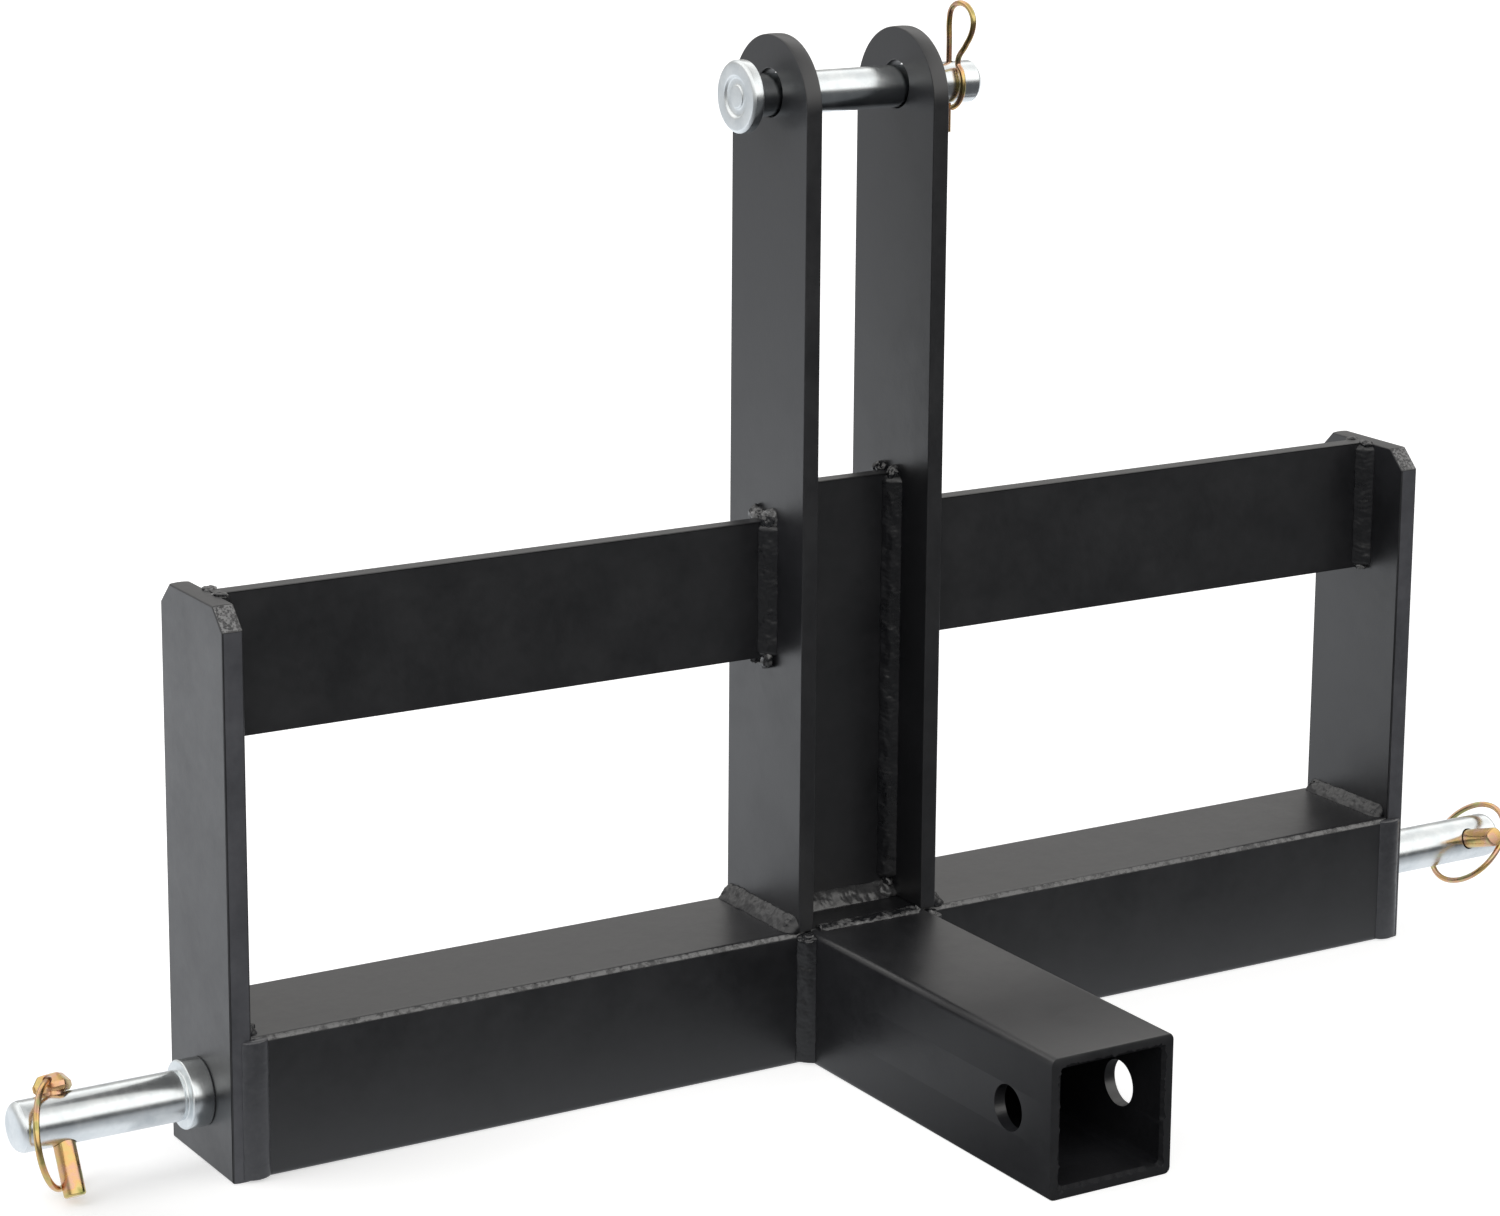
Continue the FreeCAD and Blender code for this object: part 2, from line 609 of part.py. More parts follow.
# A flat bead lies over a flush seam: a low crown, widest where it meets the steel. Its corners
# are shares of the bead's width and height.
crownShares = [(-0.5, 0.0), (0.5, 0.0), (0.36, 0.62), (0.15, 1.0), (-0.15, 1.0), (-0.36, 0.62)]


def crownShape(owner, role, tag, wide):
    section = newSketch(owner, role, tag)
    outline = [(f"{x} * {wide}", f"{y} * Dims.seamHigh") for x, y in crownShares]
    addLoop(section, outline, "edge")
    return section


for name, side in sides:
    label = f"weld_plate_seam_{name}"
    seam = newBody(label)
    seam.Placement = Placement(Vector(0, 0, 0), Rotation(alongZ, 180))
    pad(
        seam, crownShape(seam, "XY_Plane", f"{label}_section", "Dims.plateSeamWide"),
        "Dims.tubeSide - 2 * Dims.tubeCorner", f"{label}_run",
    )
    bindPlace(seam, f"-{plateIn}" if side == left else plateIn, f"-{halfTube}", "Dims.tubeCorner")

label = "weld_receiver_top"
seam = newBody(label)
pad(
    seam, crownShape(seam, "YZ_Plane", f"{label}_section", "Dims.seamWide"),
    "Dims.mastGap - 2 * Dims.seamStop", f"{label}_run",
)
bindPlace(seam, f"-{mastIn} + Dims.seamStop", f"-{halfTube}", "Dims.tubeSide")

doc.recompute()

os.makedirs("parts", exist_ok=True)
used = set()
for item in doc.Objects:
    if item.TypeId == "Part::Cut":
        used.update((item.Base.Name, item.Tool.Name))
total = 0
for item in doc.Objects:
    if "Invalid" in item.State or "Error" in item.State:
        print("trouble", item.Name, item.State)
    primitive = item.TypeId.startswith("Part::") and item.Name not in used
    if item.TypeId == "PartDesign::Body" or primitive:
        shape = item.Shape
        good = shape.isValid() and len(shape.Solids) == 1
        box = shape.BoundBox
        print(
            item.Label, "ok" if good else "NOT GOOD", round(shape.Volume, 1),
            [round(v, 1) for v in (box.XMin, box.YMin, box.ZMin, box.XMax, box.YMax, box.ZMax)],
        )
        shape.exportStep(f"parts/{item.Label}.step")
        total += 1
print(total, "nodes")
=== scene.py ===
import bmesh
import bpy
import json
import math
from mathutils import Matrix, Vector, noise


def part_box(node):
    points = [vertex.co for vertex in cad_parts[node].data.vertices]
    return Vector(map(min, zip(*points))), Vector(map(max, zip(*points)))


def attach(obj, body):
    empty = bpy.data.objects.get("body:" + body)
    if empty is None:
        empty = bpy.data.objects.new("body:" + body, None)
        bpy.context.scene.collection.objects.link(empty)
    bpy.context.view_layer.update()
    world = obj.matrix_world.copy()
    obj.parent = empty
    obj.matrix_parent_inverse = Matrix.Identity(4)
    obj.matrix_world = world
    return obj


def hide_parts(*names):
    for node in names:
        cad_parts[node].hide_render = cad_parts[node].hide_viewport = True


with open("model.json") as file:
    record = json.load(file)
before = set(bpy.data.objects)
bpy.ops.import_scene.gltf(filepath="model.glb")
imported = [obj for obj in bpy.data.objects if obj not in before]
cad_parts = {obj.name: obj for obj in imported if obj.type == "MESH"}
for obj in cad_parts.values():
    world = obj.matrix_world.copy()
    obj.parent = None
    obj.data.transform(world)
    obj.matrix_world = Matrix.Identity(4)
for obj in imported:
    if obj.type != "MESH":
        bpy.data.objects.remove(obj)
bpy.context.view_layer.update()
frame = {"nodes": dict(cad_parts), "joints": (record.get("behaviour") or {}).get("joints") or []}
nodes = frame["nodes"]
joints = {joint["name"]: joint for joint in frame["joints"]}
mm = 0.001
alongX = Vector((1, 0, 0))
alongY = Vector((0, 1, 0))
alongZ = Vector((0, 0, 1))
sides = (("left", -1), ("right", 1))
print("hitch loaded:", len(nodes), "nodes")

bpy.context.scene.view_settings.view_transform = "Standard"


def addObject(name, data):
    thing = bpy.data.objects.new(name, data)
    bpy.context.scene.collection.objects.link(thing)
    return thing


# The photograph was taken from the left front, a little above the crossbar.
view = {
    "yaw": 31.8189, "pitch": -12.3444, "roll": 0.5205,  # degrees
    "place": (-0.97365, -1.51937, 0.66757), "lens": 97.644, "sensor": 36,
    "shift": (-0.0188, -0.0987),
}


def placeCamera():
    yaw, pitch, roll = (math.radians(view[key]) for key in ("yaw", "pitch", "roll"))
    ahead = Vector((
        math.sin(yaw) * math.cos(pitch), math.cos(yaw) * math.cos(pitch), math.sin(pitch)
    ))
    across = Vector((math.cos(yaw), -math.sin(yaw), 0))
    rise = across.cross(ahead)
    side = math.cos(roll) * across + math.sin(roll) * rise
    top = math.cos(roll) * rise - math.sin(roll) * across
    lens = bpy.data.cameras.new("photoCamera")
    lens.sensor_width = view["sensor"]
    lens.lens = view["lens"]
    lens.shift_x, lens.shift_y = view["shift"]
    camera = addObject("photoCamera", lens)
    camera.matrix_world = (
        Matrix.Translation(view["place"]) @ Matrix((side, top, -ahead)).transposed().to_4x4()
    )
    bpy.context.scene.camera = camera


placeCamera()


# Small helpers for node trees. A value is a number, a colour, a vector or a node's socket.
def feed(tree, socket, value):
    if isinstance(value, bpy.types.NodeSocket):
        tree.links.new(value, socket)
    elif value is not None:
        socket.default_value = value


def feedAll(tree, node, values):
    for key, value in values.items():
        feed(tree, node.inputs[key], value)


def addNode(tree, kind, values=None, **settings):
    node = tree.nodes.new(kind)
    for key, value in settings.items():
        setattr(node, key, value)
    feedAll(tree, node, values or {})
    return node


def calc(tree, operation, first, second=None, clamp=False):
    return addNode(
        tree, "ShaderNodeMath", {0: first, 1: second}, operation=operation, use_clamp=clamp
    ).outputs[0]


def plus(tree, total, *others):
    for other in others:
        total = calc(tree, "ADD", total, other)
    return total


def minus(tree, first, second):
    return calc(tree, "SUBTRACT", first, second)


def times(tree, product, *others):
    for other in others:
        product = calc(tree, "MULTIPLY", product, other)
    return product


def vectorCalc(tree, operation, first, second=None, output="Vector"):
    return addNode(
        tree, "ShaderNodeVectorMath", {0: first, 1: second}, operation=operation
    ).outputs[output]


def shifted(tree, place, *steps):
    for step in steps:
        place = vectorCalc(tree, "ADD", place, step)
    return place


def scaled(tree, vector, amount):
    return addNode(
        tree, "ShaderNodeVectorMath", {0: vector, "Scale": amount}, operation="SCALE"
    ).outputs["Vector"]


def split(tree, vector):
    return addNode(tree, "ShaderNodeSeparateXYZ", {0: vector}).outputs


def spread(tree, value, low, high, toLow, toHigh):
    return addNode(tree, "ShaderNodeMapRange", {
        "Value": value, "From Min": low, "From Max": high, "To Min": toLow, "To Max": toHigh,
    }).outputs["Result"]


def grain(tree, vector, scale, detail=2.0, rough=0.5):
    return addNode(tree, "ShaderNodeTexNoise", {
        "Vector": vector, "Scale": scale, "Detail": detail, "Roughness": rough,
    }).outputs["Fac"]


def blend(tree, main, other, share=0.6):
    return plus(tree, times(tree, main, share), times(tree, other, 1 - share))


def ramp(tree, value, stops):
    node = addNode(tree, "ShaderNodeValToRGB", {"Fac": value})
    bar = node.color_ramp
    while len(bar.elements) < len(stops):
        bar.elements.new(0.5)
    for element, (place, colour) in zip(bar.elements, stops):
        element.position = place
        element.color = (*colour, 1.0)
    return node.outputs["Color"]


def bump(tree, height, distance, after=None):
    return addNode(tree, "ShaderNodeBump", {
        "Strength": 1.0, "Distance": distance, "Height": height, "Normal": after,
    }).outputs["Normal"]


def newFinish(name):
    finish = bpy.data.materials.new(name)
    finish.use_nodes = True
    tree = finish.node_tree
    place = addNode(tree, "ShaderNodeTexCoord").outputs["Object"]
    return finish, tree, tree.nodes["Principled BSDF"], place


# Black coat: satin, with the fine orange peel of powder and a slow unevenness under it.
# A scale is a noise texture's own, in waves to the metre.
coat = {
    "dark": (0.0110, 0.0114, 0.0132), "pale": (0.0175, 0.0180, 0.0205),
    "sway": 0.12 * mm, "swayScale": 38.0, "peelScale": 900.0, "mottleScale": 210.0,
    "tones": (0.35, 0.68), "gloss": (0.35, 0.65), "paintedGlintLevels": (0.52, 0.70),
}


def makeCoat(
    name, smooth, dull, peel, lumps=0.0, paintedGlint=0.0, paintedGlintScale=0.0, cover=0.0, lift=1.0, shine=0.8
):
    finish, tree, shader, place = newFinish(name)
    slow = grain(tree, place, coat["swayScale"], 4.0, 0.55)
    fine = grain(tree, place, coat["peelScale"])
    mottle = grain(tree, place, coat["mottleScale"], 5.0, 0.65)
    mixed = blend(tree, slow, mottle)
    # A lift above one paints the coat paler, as a painted sheen.
    dark, pale = ([part * lift for part in coat[key]] for key in ("dark", "pale"))
    base = ramp(tree, mixed, list(zip(coat["tones"], (dark, pale))))
    if paintedGlint:
        # Painted highlights: pale flecks put into the coat's colour on its high spots.
        low, high = (level - cover for level in coat["paintedGlintLevels"])
        paintedGlints = ramp(tree, grain(tree, place, paintedGlintScale, 2.0, 0.6), [
            (low, (0, 0, 0)), (high, (paintedGlint,) * 3)
        ])
        base = vectorCalc(tree, "ADD", base, paintedGlints)
    normal = bump(tree, fine, peel, after=bump(tree, slow, coat["sway"]))
    if lumps:
        normal = bump(tree, mottle, lumps, after=normal)
    feedAll(tree, shader, {
        "Base Color": base, "Roughness": spread(tree, mixed, *coat["gloss"], smooth, dull),
        "Specular IOR Level": shine, "Normal": normal,
    })
    return finish


coatFinish = makeCoat("blackCoat", 0.30, 0.41, 0.022 * mm)
# The bead, foot, spatter and cut coats carry painted highlights, pale flecks in their colour.
beadFinish = makeCoat(
    "blackCoatOnBead", 0.24, 0.36, 0.03 * mm, 0.04 * mm, paintedGlint=0.002, paintedGlintScale=260.0, shine=0.6
)
# The seam's coat is painted paler with a few pale flecks: a painted sheen on the bulge.
seamSheenFinish = makeCoat(
    "blackCoatOnSeamPaintedSheen", 0.28, 0.40, 0.03 * mm, 0.06 * mm, paintedGlint=0.010, paintedGlintScale=300.0, lift=3.6
)
footFinish = makeCoat(
    "blackCoatOnFoot", 0.18, 0.30, 0.03 * mm, 0.06 * mm, paintedGlint=0.08, paintedGlintScale=34.0, cover=0.05
)
# A painted highlight of pale flecks along the crossbar's top front corner.
edgeHighlightFinish = makeCoat(
    "blackCoatPaintedEdgeHighlight", 0.22, 0.34, 0.03 * mm, 0.10 * mm, paintedGlint=0.17, paintedGlintScale=330.0, cover=0.14
)
spatterFinish = makeCoat(
    "blackCoatOnSpatter", 0.14, 0.26, 0.03 * mm, 0.20 * mm, paintedGlint=0.24, paintedGlintScale=170.0
)
cutFinish = makeCoat(
    "blackCoatOnCutEdge", 0.34, 0.50, 0.06 * mm, 0.60 * mm, paintedGlint=0.22, paintedGlintScale=800.0,
    cover=0.10,
)
# The rolled edges' coat is painted paler: a painted sheen.
rolledSheenFinish = makeCoat("blackCoatOnRolledEdgePaintedSheen", 0.34, 0.46, 0.04 * mm, 0.08 * mm, lift=5.6)
insideFinish = makeCoat("blackCoatInside", 0.50, 0.65, 0.06 * mm, 0.20 * mm, shine=0.2)

# White zinc on turned pins: fine rings from the lathe round X, and a faint cloudiness.
whiteZinc = {
    "cool": (0.64, 0.68, 0.70), "warm": (0.77, 0.80, 0.81), "smooth": 0.18, "dull": 0.27,
    "cloudScale": 95.0, "ringScale": (2600.0, 34.0, 34.0), "ring": 0.003 * mm,
    "tones": (0.34, 0.62), "gloss": (0.38, 0.62),
}


def makeWhiteZinc(name, lift=1.0, duller=0.0):
    finish, tree, shader, place = newFinish(name)
    cloud = grain(tree, place, whiteZinc["cloudScale"], 5.0, 0.6)
    rings = grain(tree, vectorCalc(tree, "MULTIPLY", place, whiteZinc["ringScale"]), 1.0)
    # A lift above one paints the zinc paler, as painted light.
    cool, warm = ([part * lift for part in whiteZinc[key]] for key in ("cool", "warm"))
    feedAll(tree, shader, {
        "Base Color": ramp(tree, cloud, list(zip(whiteZinc["tones"], (cool, warm)))),
        "Metallic": 1.0, "Roughness": spread(
            tree, blend(tree, cloud, rings), *whiteZinc["gloss"], whiteZinc["smooth"] + duller,
            whiteZinc["dull"] + duller,
        ),
        "Normal": bump(tree, rings, whiteZinc["ring"]),
    })
    return finish


# Yellow zinc: gold that runs into rose, olive and pale straw.
yellowZinc = {
    "stops": [
        (0.29, (0.32, 0.31, 0.10)), (0.38, (0.60, 0.47, 0.19)), (0.47, (0.68, 0.43, 0.18)),
        (0.55, (0.68, 0.40, 0.28)), (0.66, (0.56, 0.54, 0.25)),
    ],
    "smooth": 0.20, "dull": 0.33, "gloss": (0.35, 0.65), "cloudScale": 92.0,
    "fineScale": 1500.0, "fine": 0.008 * mm,
}


def makeYellowZinc():
    finish, tree, shader, place = newFinish("yellowZinc")
    cloud = grain(tree, place, yellowZinc["cloudScale"], 3.0)
    fine = grain(tree, place, yellowZinc["fineScale"])
    feedAll(tree, shader, {
        "Base Color": ramp(tree, cloud, yellowZinc["stops"]), "Metallic": 1.0,
        "Roughness": spread(
            tree, cloud, *yellowZinc["gloss"], yellowZinc["smooth"], yellowZinc["dull"]
        ),
        "Normal": bump(tree, fine, yellowZinc["fine"]),
    })
    return finish


whiteFinish = makeWhiteZinc("whiteZinc")
# The pins' ends get a duller zinc, painted paler as light on them.
paintedPaleEndFinish = makeWhiteZinc("whiteZincOnEndsPaintedPaler", lift=1.16, duller=0.20)
yellowFinish = makeYellowZinc()
print("finishes made")


# The room is white only to the camera. Metal sees pale walls that are darker in front of the
# hitch, under a soft box. A row of four is a range and the levels at its two ends.
room = {
    "diffuse": 0.42, "slant": 0.35, "sky": (1.0, 0.985, 0.96),
    "walls": (-0.55, 0.45, 0.18, 0.54), "boxLow": (-0.6, 0.3, 0.04, 0.40),
    "boxEdge": (0.0, 0.16, 0.0, 1.5), "overhead": (0.66, 0.90, 1.0, 0.55),
}


# How far back a place or a direction lies, along a line slanted to the photograph's right.
def backward(tree, place):
    return minus(tree, place["Y"], times(tree, place["X"], room["slant"]))


def rayKinds(tree):
    light = addNode(tree, "ShaderNodeLightPath").outputs
    mirrored = calc(tree, "MAXIMUM", light["Is Glossy Ray"], light["Is Transmission Ray"])
    return light["Is Camera Ray"], mirrored


def makeRoom():
    world = bpy.data.worlds.new("room")
    bpy.context.scene.world = world
    world.use_nodes = True
    tree = world.node_tree
    tree.nodes.clear()
    way = split(tree, addNode(tree, "ShaderNodeTexCoord").outputs["Generated"])
    lean = backward(tree, way)
    walls = spread(tree, lean, *room["walls"])
    # The soft box hangs lower in front of the hitch than behind it.
    above = minus(tree, way["Z"], spread(tree, lean, *room["boxLow"]))
    softBox = times(
        tree, spread(tree, above, *room["boxEdge"]), spread(tree, way["Z"], *room["overhead"])
    )
    toCamera, toMetal = rayKinds(tree)
    level = addNode(tree, "ShaderNodeMix", {
        "Factor": toMetal, "A": room["diffuse"], "B": calc(tree, "MAXIMUM", walls, softBox),
    })
    seen = addNode(tree, "ShaderNodeMix", {
        "Factor": toCamera, "A": level.outputs["Result"], "B": 1.0,
    })
    tint = addNode(tree, "ShaderNodeMix", {
        "Factor": toCamera, "A": (*room["sky"], 1), "B": (1, 1, 1, 1),
    }, data_type="RGBA")
    back = addNode(tree, "ShaderNodeBackground", {
        "Color": tint.outputs["Result"], "Strength": seen.outputs["Result"],
    })
    addNode(tree, "ShaderNodeOutputWorld", {"Surface": back.outputs[0]})


# The floor glows near white to the camera and keeps the hitch's shadow, with a soft painted
# shadow round the left link pin. In metal it is dim before the hitch, bright behind and at the
# pins.
# A row of four is a range in metres and the levels at its two ends.
ground = {
    "half": 8.0, "colour": 0.62, "uneven": 1.02, "unevenScale": 3.0, "tint": (0.95, 0.975, 1.01),
    "glow": (0.5, 3.2, 0.76, 1.0), "pool": (0.02, 0.26, 0.58, 1.0), "paintedShadowAt": (-0.40, -0.06, 0.0),
    "front": (-0.17, 0.02, 0.12, 0.86), "behind": (0.10, 0.60, 0.0, 0.36),
    "pinsAside": (0.32, 0.345, 0.0, 1.0), "pinsBehind": (-0.09, -0.02, 0.0, 1.0),
    "farOff": (0.9, 2.2, 1.0, 0.55),
}


def makeFloor():
    finish, tree, shader, place = newFinish("paleFloor")
    tree.nodes.remove(shader)
    pale = addNode(tree, "ShaderNodeBsdfDiffuse", {"Color": ramp(
        tree, grain(tree, place, ground["unevenScale"]),
        [(0.3, (ground["colour"],) * 3), (0.7, (ground["colour"] * ground["uneven"],) * 3)],
    )})
    reach = vectorCalc(tree, "LENGTH", place, output="Value")
    fromPaintedShadow = vectorCalc(tree, "DISTANCE", place, ground["paintedShadowAt"], output="Value")
    # The glow drops round the left link pin: a painted shadow on the floor.
    glow = addNode(tree, "ShaderNodeEmission", {"Strength": times(
        tree, spread(tree, reach, *ground["glow"]), spread(tree, fromPaintedShadow, *ground["pool"])
    )})
    shown = addNode(tree, "ShaderNodeAddShader", {0: glow.outputs[0], 1: pale.outputs[0]})
    spot = split(tree, place)
    level = plus(
        tree, spread(tree, spot["Y"], *ground["front"]), spread(tree, spot["Y"], *ground["behind"])
    )
    atPins = times(
        tree, spread(tree, calc(tree, "ABSOLUTE", spot["X"]), *ground["pinsAside"]),
        spread(tree, spot["Y"], *ground["pinsBehind"]),
    )
    mirror = addNode(tree, "ShaderNodeEmission", {"Color": (*ground["tint"], 1), "Strength": times(
        tree, calc(tree, "MAXIMUM", level, atPins),
        spread(tree, backward(tree, spot), *ground["farOff"]),
    )})
    toCamera, toMetal = rayKinds(tree)
    bounced = addNode(tree, "ShaderNodeMixShader", {
        "Fac": toMetal, 1: pale.outputs[0], 2: mirror.outputs[0],
    })
    final = addNode(tree, "ShaderNodeMixShader", {
        "Fac": toCamera, 1: bounced.outputs[0], 2: shown.outputs[0],
    })
    feed(tree, tree.nodes["Material Output"].inputs["Surface"], final.outputs[0])
    half = ground["half"]
    mesh = bpy.data.meshes.new("floor")
    mesh.from_pydata(
        [(-half, -half, 0), (half, -half, 0), (half, half, 0), (-half, half, 0)], [], [(0, 1, 2, 3)]
    )
    mesh.materials.append(finish)
    addObject("floor", mesh)


lamps = [
    {"name": "keyLamp", "place": (-1.7, 0.5, 1.7), "aim": (0, 0, 0.15), "size": 1.5, "power": 30},
    {"name": "fillLamp", "place": (-1.2, -1.8, 1.8), "aim": (0, 0, 0.15), "size": 1.2, "power": 9},
    {"name": "backLamp", "place": (1.5, 1.7, 1.5), "aim": (0, 0, 0.2), "size": 1.3, "power": 5},
]


def placeLamps():
    for lamp in lamps:
        data = bpy.data.lights.new(lamp["name"], "AREA")
        data.size = lamp["size"]
        data.energy = lamp["power"]
        thing = addObject(lamp["name"], data)
        thing.visible_glossy = False
        place = Vector(lamp["place"])
        turn = (Vector(lamp["aim"]) - place).to_track_quat("-Z", "Y")
        thing.matrix_world = Matrix.Translation(place) @ turn.to_matrix().to_4x4()


makeRoom()
makeFloor()
placeLamps()
print("camera, room and lamps placed")


# Every piece is a mesh in the hitch's own frame. It rides on a body and stands for a CAD node.
def addPiece(name, mesh, finishes, node, body="frame"):
    piece = addObject(name, mesh)
    for finish in finishes:
        mesh.materials.append(finish)
    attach(piece, body)
    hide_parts(node)


def toMesh(build, name):
    mesh = bpy.data.meshes.new(name)
    build.to_mesh(mesh)
    build.free()
    return mesh


def closeMesh(build, name):
    bmesh.ops.remove_doubles(build, verts=build.verts, dist=0.002 * mm)
    bmesh.ops.recalc_face_normals(build, faces=build.faces)
    return toMesh(build, name)


def shade(mesh, angle=32.0):
    mesh.shade_smooth()
    mesh.set_sharp_from_angle(angle=math.radians(angle))
    return mesh


# Keeps what a bench object's modifiers make as a plain mesh, and clears the bench away.
def freeze(bench, name):
    base = bench.data
    ready = bpy.context.evaluated_depsgraph_get()
    mesh = bpy.data.meshes.new_from_object(
        bench.evaluated_get(ready), preserve_all_data_layers=True, depsgraph=ready
    )
    bench.modifiers.clear()
    bpy.data.objects.remove(bench)
    bpy.data.meshes.remove(base)
    mesh.name = name
    return mesh


def settle(mesh, drill=None):
    bench = addObject("bench", shade(mesh))
    if drill:
        change = bench.modifiers.new("bore", "BOOLEAN")
        change.operation, change.object, change.solver = "DIFFERENCE", drill, "EXACT"
    else:
        change = bench.modifiers.new("weigh", "WEIGHTED_NORMAL")
        change.keep_sharp, change.weight = True, 80
    return freeze(bench, mesh.name)


def bored(mesh, cutter):
    drill = addObject("drill", cutter)
    done = settle(mesh, drill)
    bpy.data.objects.remove(drill)
    bpy.data.meshes.remove(cutter)
    return shade(done)


# A soft bend from start to end that leans towards the corner at here.
def bend(start, here, end, steps=3):
    for t in (step / steps for step in range(steps + 1)):
        yield (1 - t) ** 2 * start + 2 * t * (1 - t) * here + t * t * end


def softCorners(corners, radius):
    loop = []
    for k, corner in enumerate(corners):
        here = Vector(corner)
        before = (Vector(corners[k - 1]) - here).normalized()
        after = (Vector(corners[(k + 1) % len(corners)]) - here).normalized()
        loop += bend(here + before * radius, here, here + after * radius)
    return loop


def insetLoop(loop, amount):
    pulled = []
    count = len(loop)
    for k in range(count):
        here = loop[k]
        along = (here - loop[k - 1]).normalized()
        onward = (loop[(k + 1) % count] - here).normalized()
        first = Vector((-along.y, along.x))
        second = Vector((-onward.y, onward.x))
        pulled.append(here + (first + second) * (amount / (1 + first.dot(second))))
    return pulled


def skin(build, rings):
    for lower, upper in zip(rings, rings[1:]):
        for k in range(len(lower)):
            build.faces.new((lower[k - 1], lower[k], upper[k], upper[k - 1]))


# A flat plate: its outline and its holes, broken edges all round, and a thickness from low to
# high. The outline runs anticlockwise and a hole clockwise, so both pull in towards the steel.
def plateMesh(name, loops, low, high, edge, put, crown=0.0):
    build = bmesh.new()
    levels = []
    middle = (low + high) / 2
    for angle in (0.0, math.pi / 6, math.pi / 3, math.pi / 2):
        levels.append((low + edge * (1 - math.cos(angle)), edge * (1 - math.sin(angle))))
    levels += [(low + edge + (middle - low - edge) * t, 0.0) for t in (0.25, 0.5, 0.75)]
    levels += [(low + high - rise, pull) for rise, pull in reversed(levels)]
    levels = [
        (rise, pull + crown * ((rise - middle) / (middle - low)) ** 2) for rise, pull in levels
    ]
    ends = ([], [])
    for loop in loops:
        rings = []
        for rise, pull in levels:
            rings.append([build.verts.new(put(p.x, p.y, rise)) for p in insetLoop(loop, pull)])
        skin(build, rings)
        for edges, ring in zip(ends, (rings[0], rings[-1])):
            edges += [build.edges.get((ring[k - 1], ring[k])) for k in range(len(ring))]
    for edges in ends:
        bmesh.ops.triangle_fill(build, use_beauty=True, edges=edges)
    return closeMesh(build, name)


def putX(across, rise, depth):
    return Vector((depth, across, rise))


def putY(across, rise, depth):
    return Vector((across, depth, rise))


# Side plates: flat bar on edge with its top corners sawn off.
sidePlate = {"cut": 9.5 * mm, "edge": 0.7 * mm, "corner": 0.5 * mm, "crown": 0.35 * mm}


def makeSidePlates():
    for name, side in sides:
        low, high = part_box(f"side_plate_{name}")
        cut = sidePlate["cut"]
        outline = softCorners([
            (low.y, low.z), (high.y, low.z), (high.y, high.z - cut), (high.y - cut, high.z),
            (low.y + cut, high.z), (low.y, high.z - cut),
        ], sidePlate["corner"])
        mesh = settle(plateMesh(
            f"sidePlate_{name}", [outline], low.x, high.x, sidePlate["edge"], putX,
            sidePlate["crown"],
        ))
        # Sawn corners get painted highlight flecks; rolled edges get a paler coat, a painted sheen.
        for face in mesh.polygons:
            level, rise = abs(face.normal.y), face.normal.z
            if abs(level - math.sqrt(0.5)) < 0.08 and rise > 0.6:  # the sawn corners
                face.material_index = 1
            elif level > 0.98 and rise < 0.05:  # the rolled edges
                face.material_index = 2
        finishes = (coatFinish, cutFinish, rolledSheenFinish)
        addPiece(f"sidePlate_{name}", mesh, finishes, f"side_plate_{name}")


# Mast plates: round topped flat bar with the top link bore.
mastPlate = {
    "bore": 21.2 * mm, "drop": 25.95 * mm, "edge": 0.6 * mm, "crown": 0.22 * mm,
    "topSteps": 64, "boreSteps": 72,
}


def makeMastPlates():
    for name, side in sides:
        low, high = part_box(f"mast_plate_{name}")
        half = (high.y - low.y) / 2
        shoulder = high.z - half
        outline = [Vector((low.y, low.z)), Vector((high.y, low.z))]
        for k in range(mastPlate["topSteps"] + 1):
            angle = math.pi * k / mastPlate["topSteps"]
            outline.append(Vector((half * math.cos(angle), shoulder + half * math.sin(angle))))
        centre = Vector((0, high.z - mastPlate["drop"]))
        bore = []
        for k in range(mastPlate["boreSteps"]):
            angle = -2 * math.pi * k / mastPlate["boreSteps"]
            bore.append(centre + Vector((math.cos(angle), math.sin(angle))) * mastPlate["bore"] / 2)
        mesh = plateMesh(
            f"mastPlate_{name}", [outline, bore], low.x, high.x, mastPlate["edge"], putX,
            mastPlate["crown"],
        )
        addPiece(f"mastPlate_{name}", settle(mesh), (coatFinish,), f"mast_plate_{name}")


# Upper bars and centre web: flat bar on edge.
flatBar = {"edge": 0.7 * mm, "corner": 0.3 * mm}


def makeFlatBars():
    for node, name in (
        ("upper_bar_left", "upperBar_left"), ("upper_bar_right", "upperBar_right"),
        ("centre_web", "centreWeb"),
    ):
        low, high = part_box(node)
        corners = [(low.x, low.z), (high.x, low.z), (high.x, high.z), (low.x, high.z)]
        outline = softCorners(corners, flatBar["corner"])
        mesh = plateMesh(name, [outline], low.y, high.y, flatBar["edge"], putY)
        addPiece(name, settle(mesh), (coatFinish,), node)


makeSidePlates()
makeMastPlates()
makeFlatBars()
print("plates and bars made")

# Square tubes: one for the crossbar, one for the receiver.
tube = {
    "wall": 5.5 * mm, "corner": 3.0 * mm, "inside": 2.0 * mm, "leadIn": 1.4 * mm,
    "ragged": 1.05 * mm, "broken": 0.8 * mm, "hole": 20.5 * mm, "holeBack": 31.0 * mm,
    "mouthSteps": 56, "highlightBand": 4.0 * mm, "drill": 1.5,
    "waves": ((220, 1.0, 0.3), (700, 1.1, 0.9)),  # scale, share, slice of the noise
}


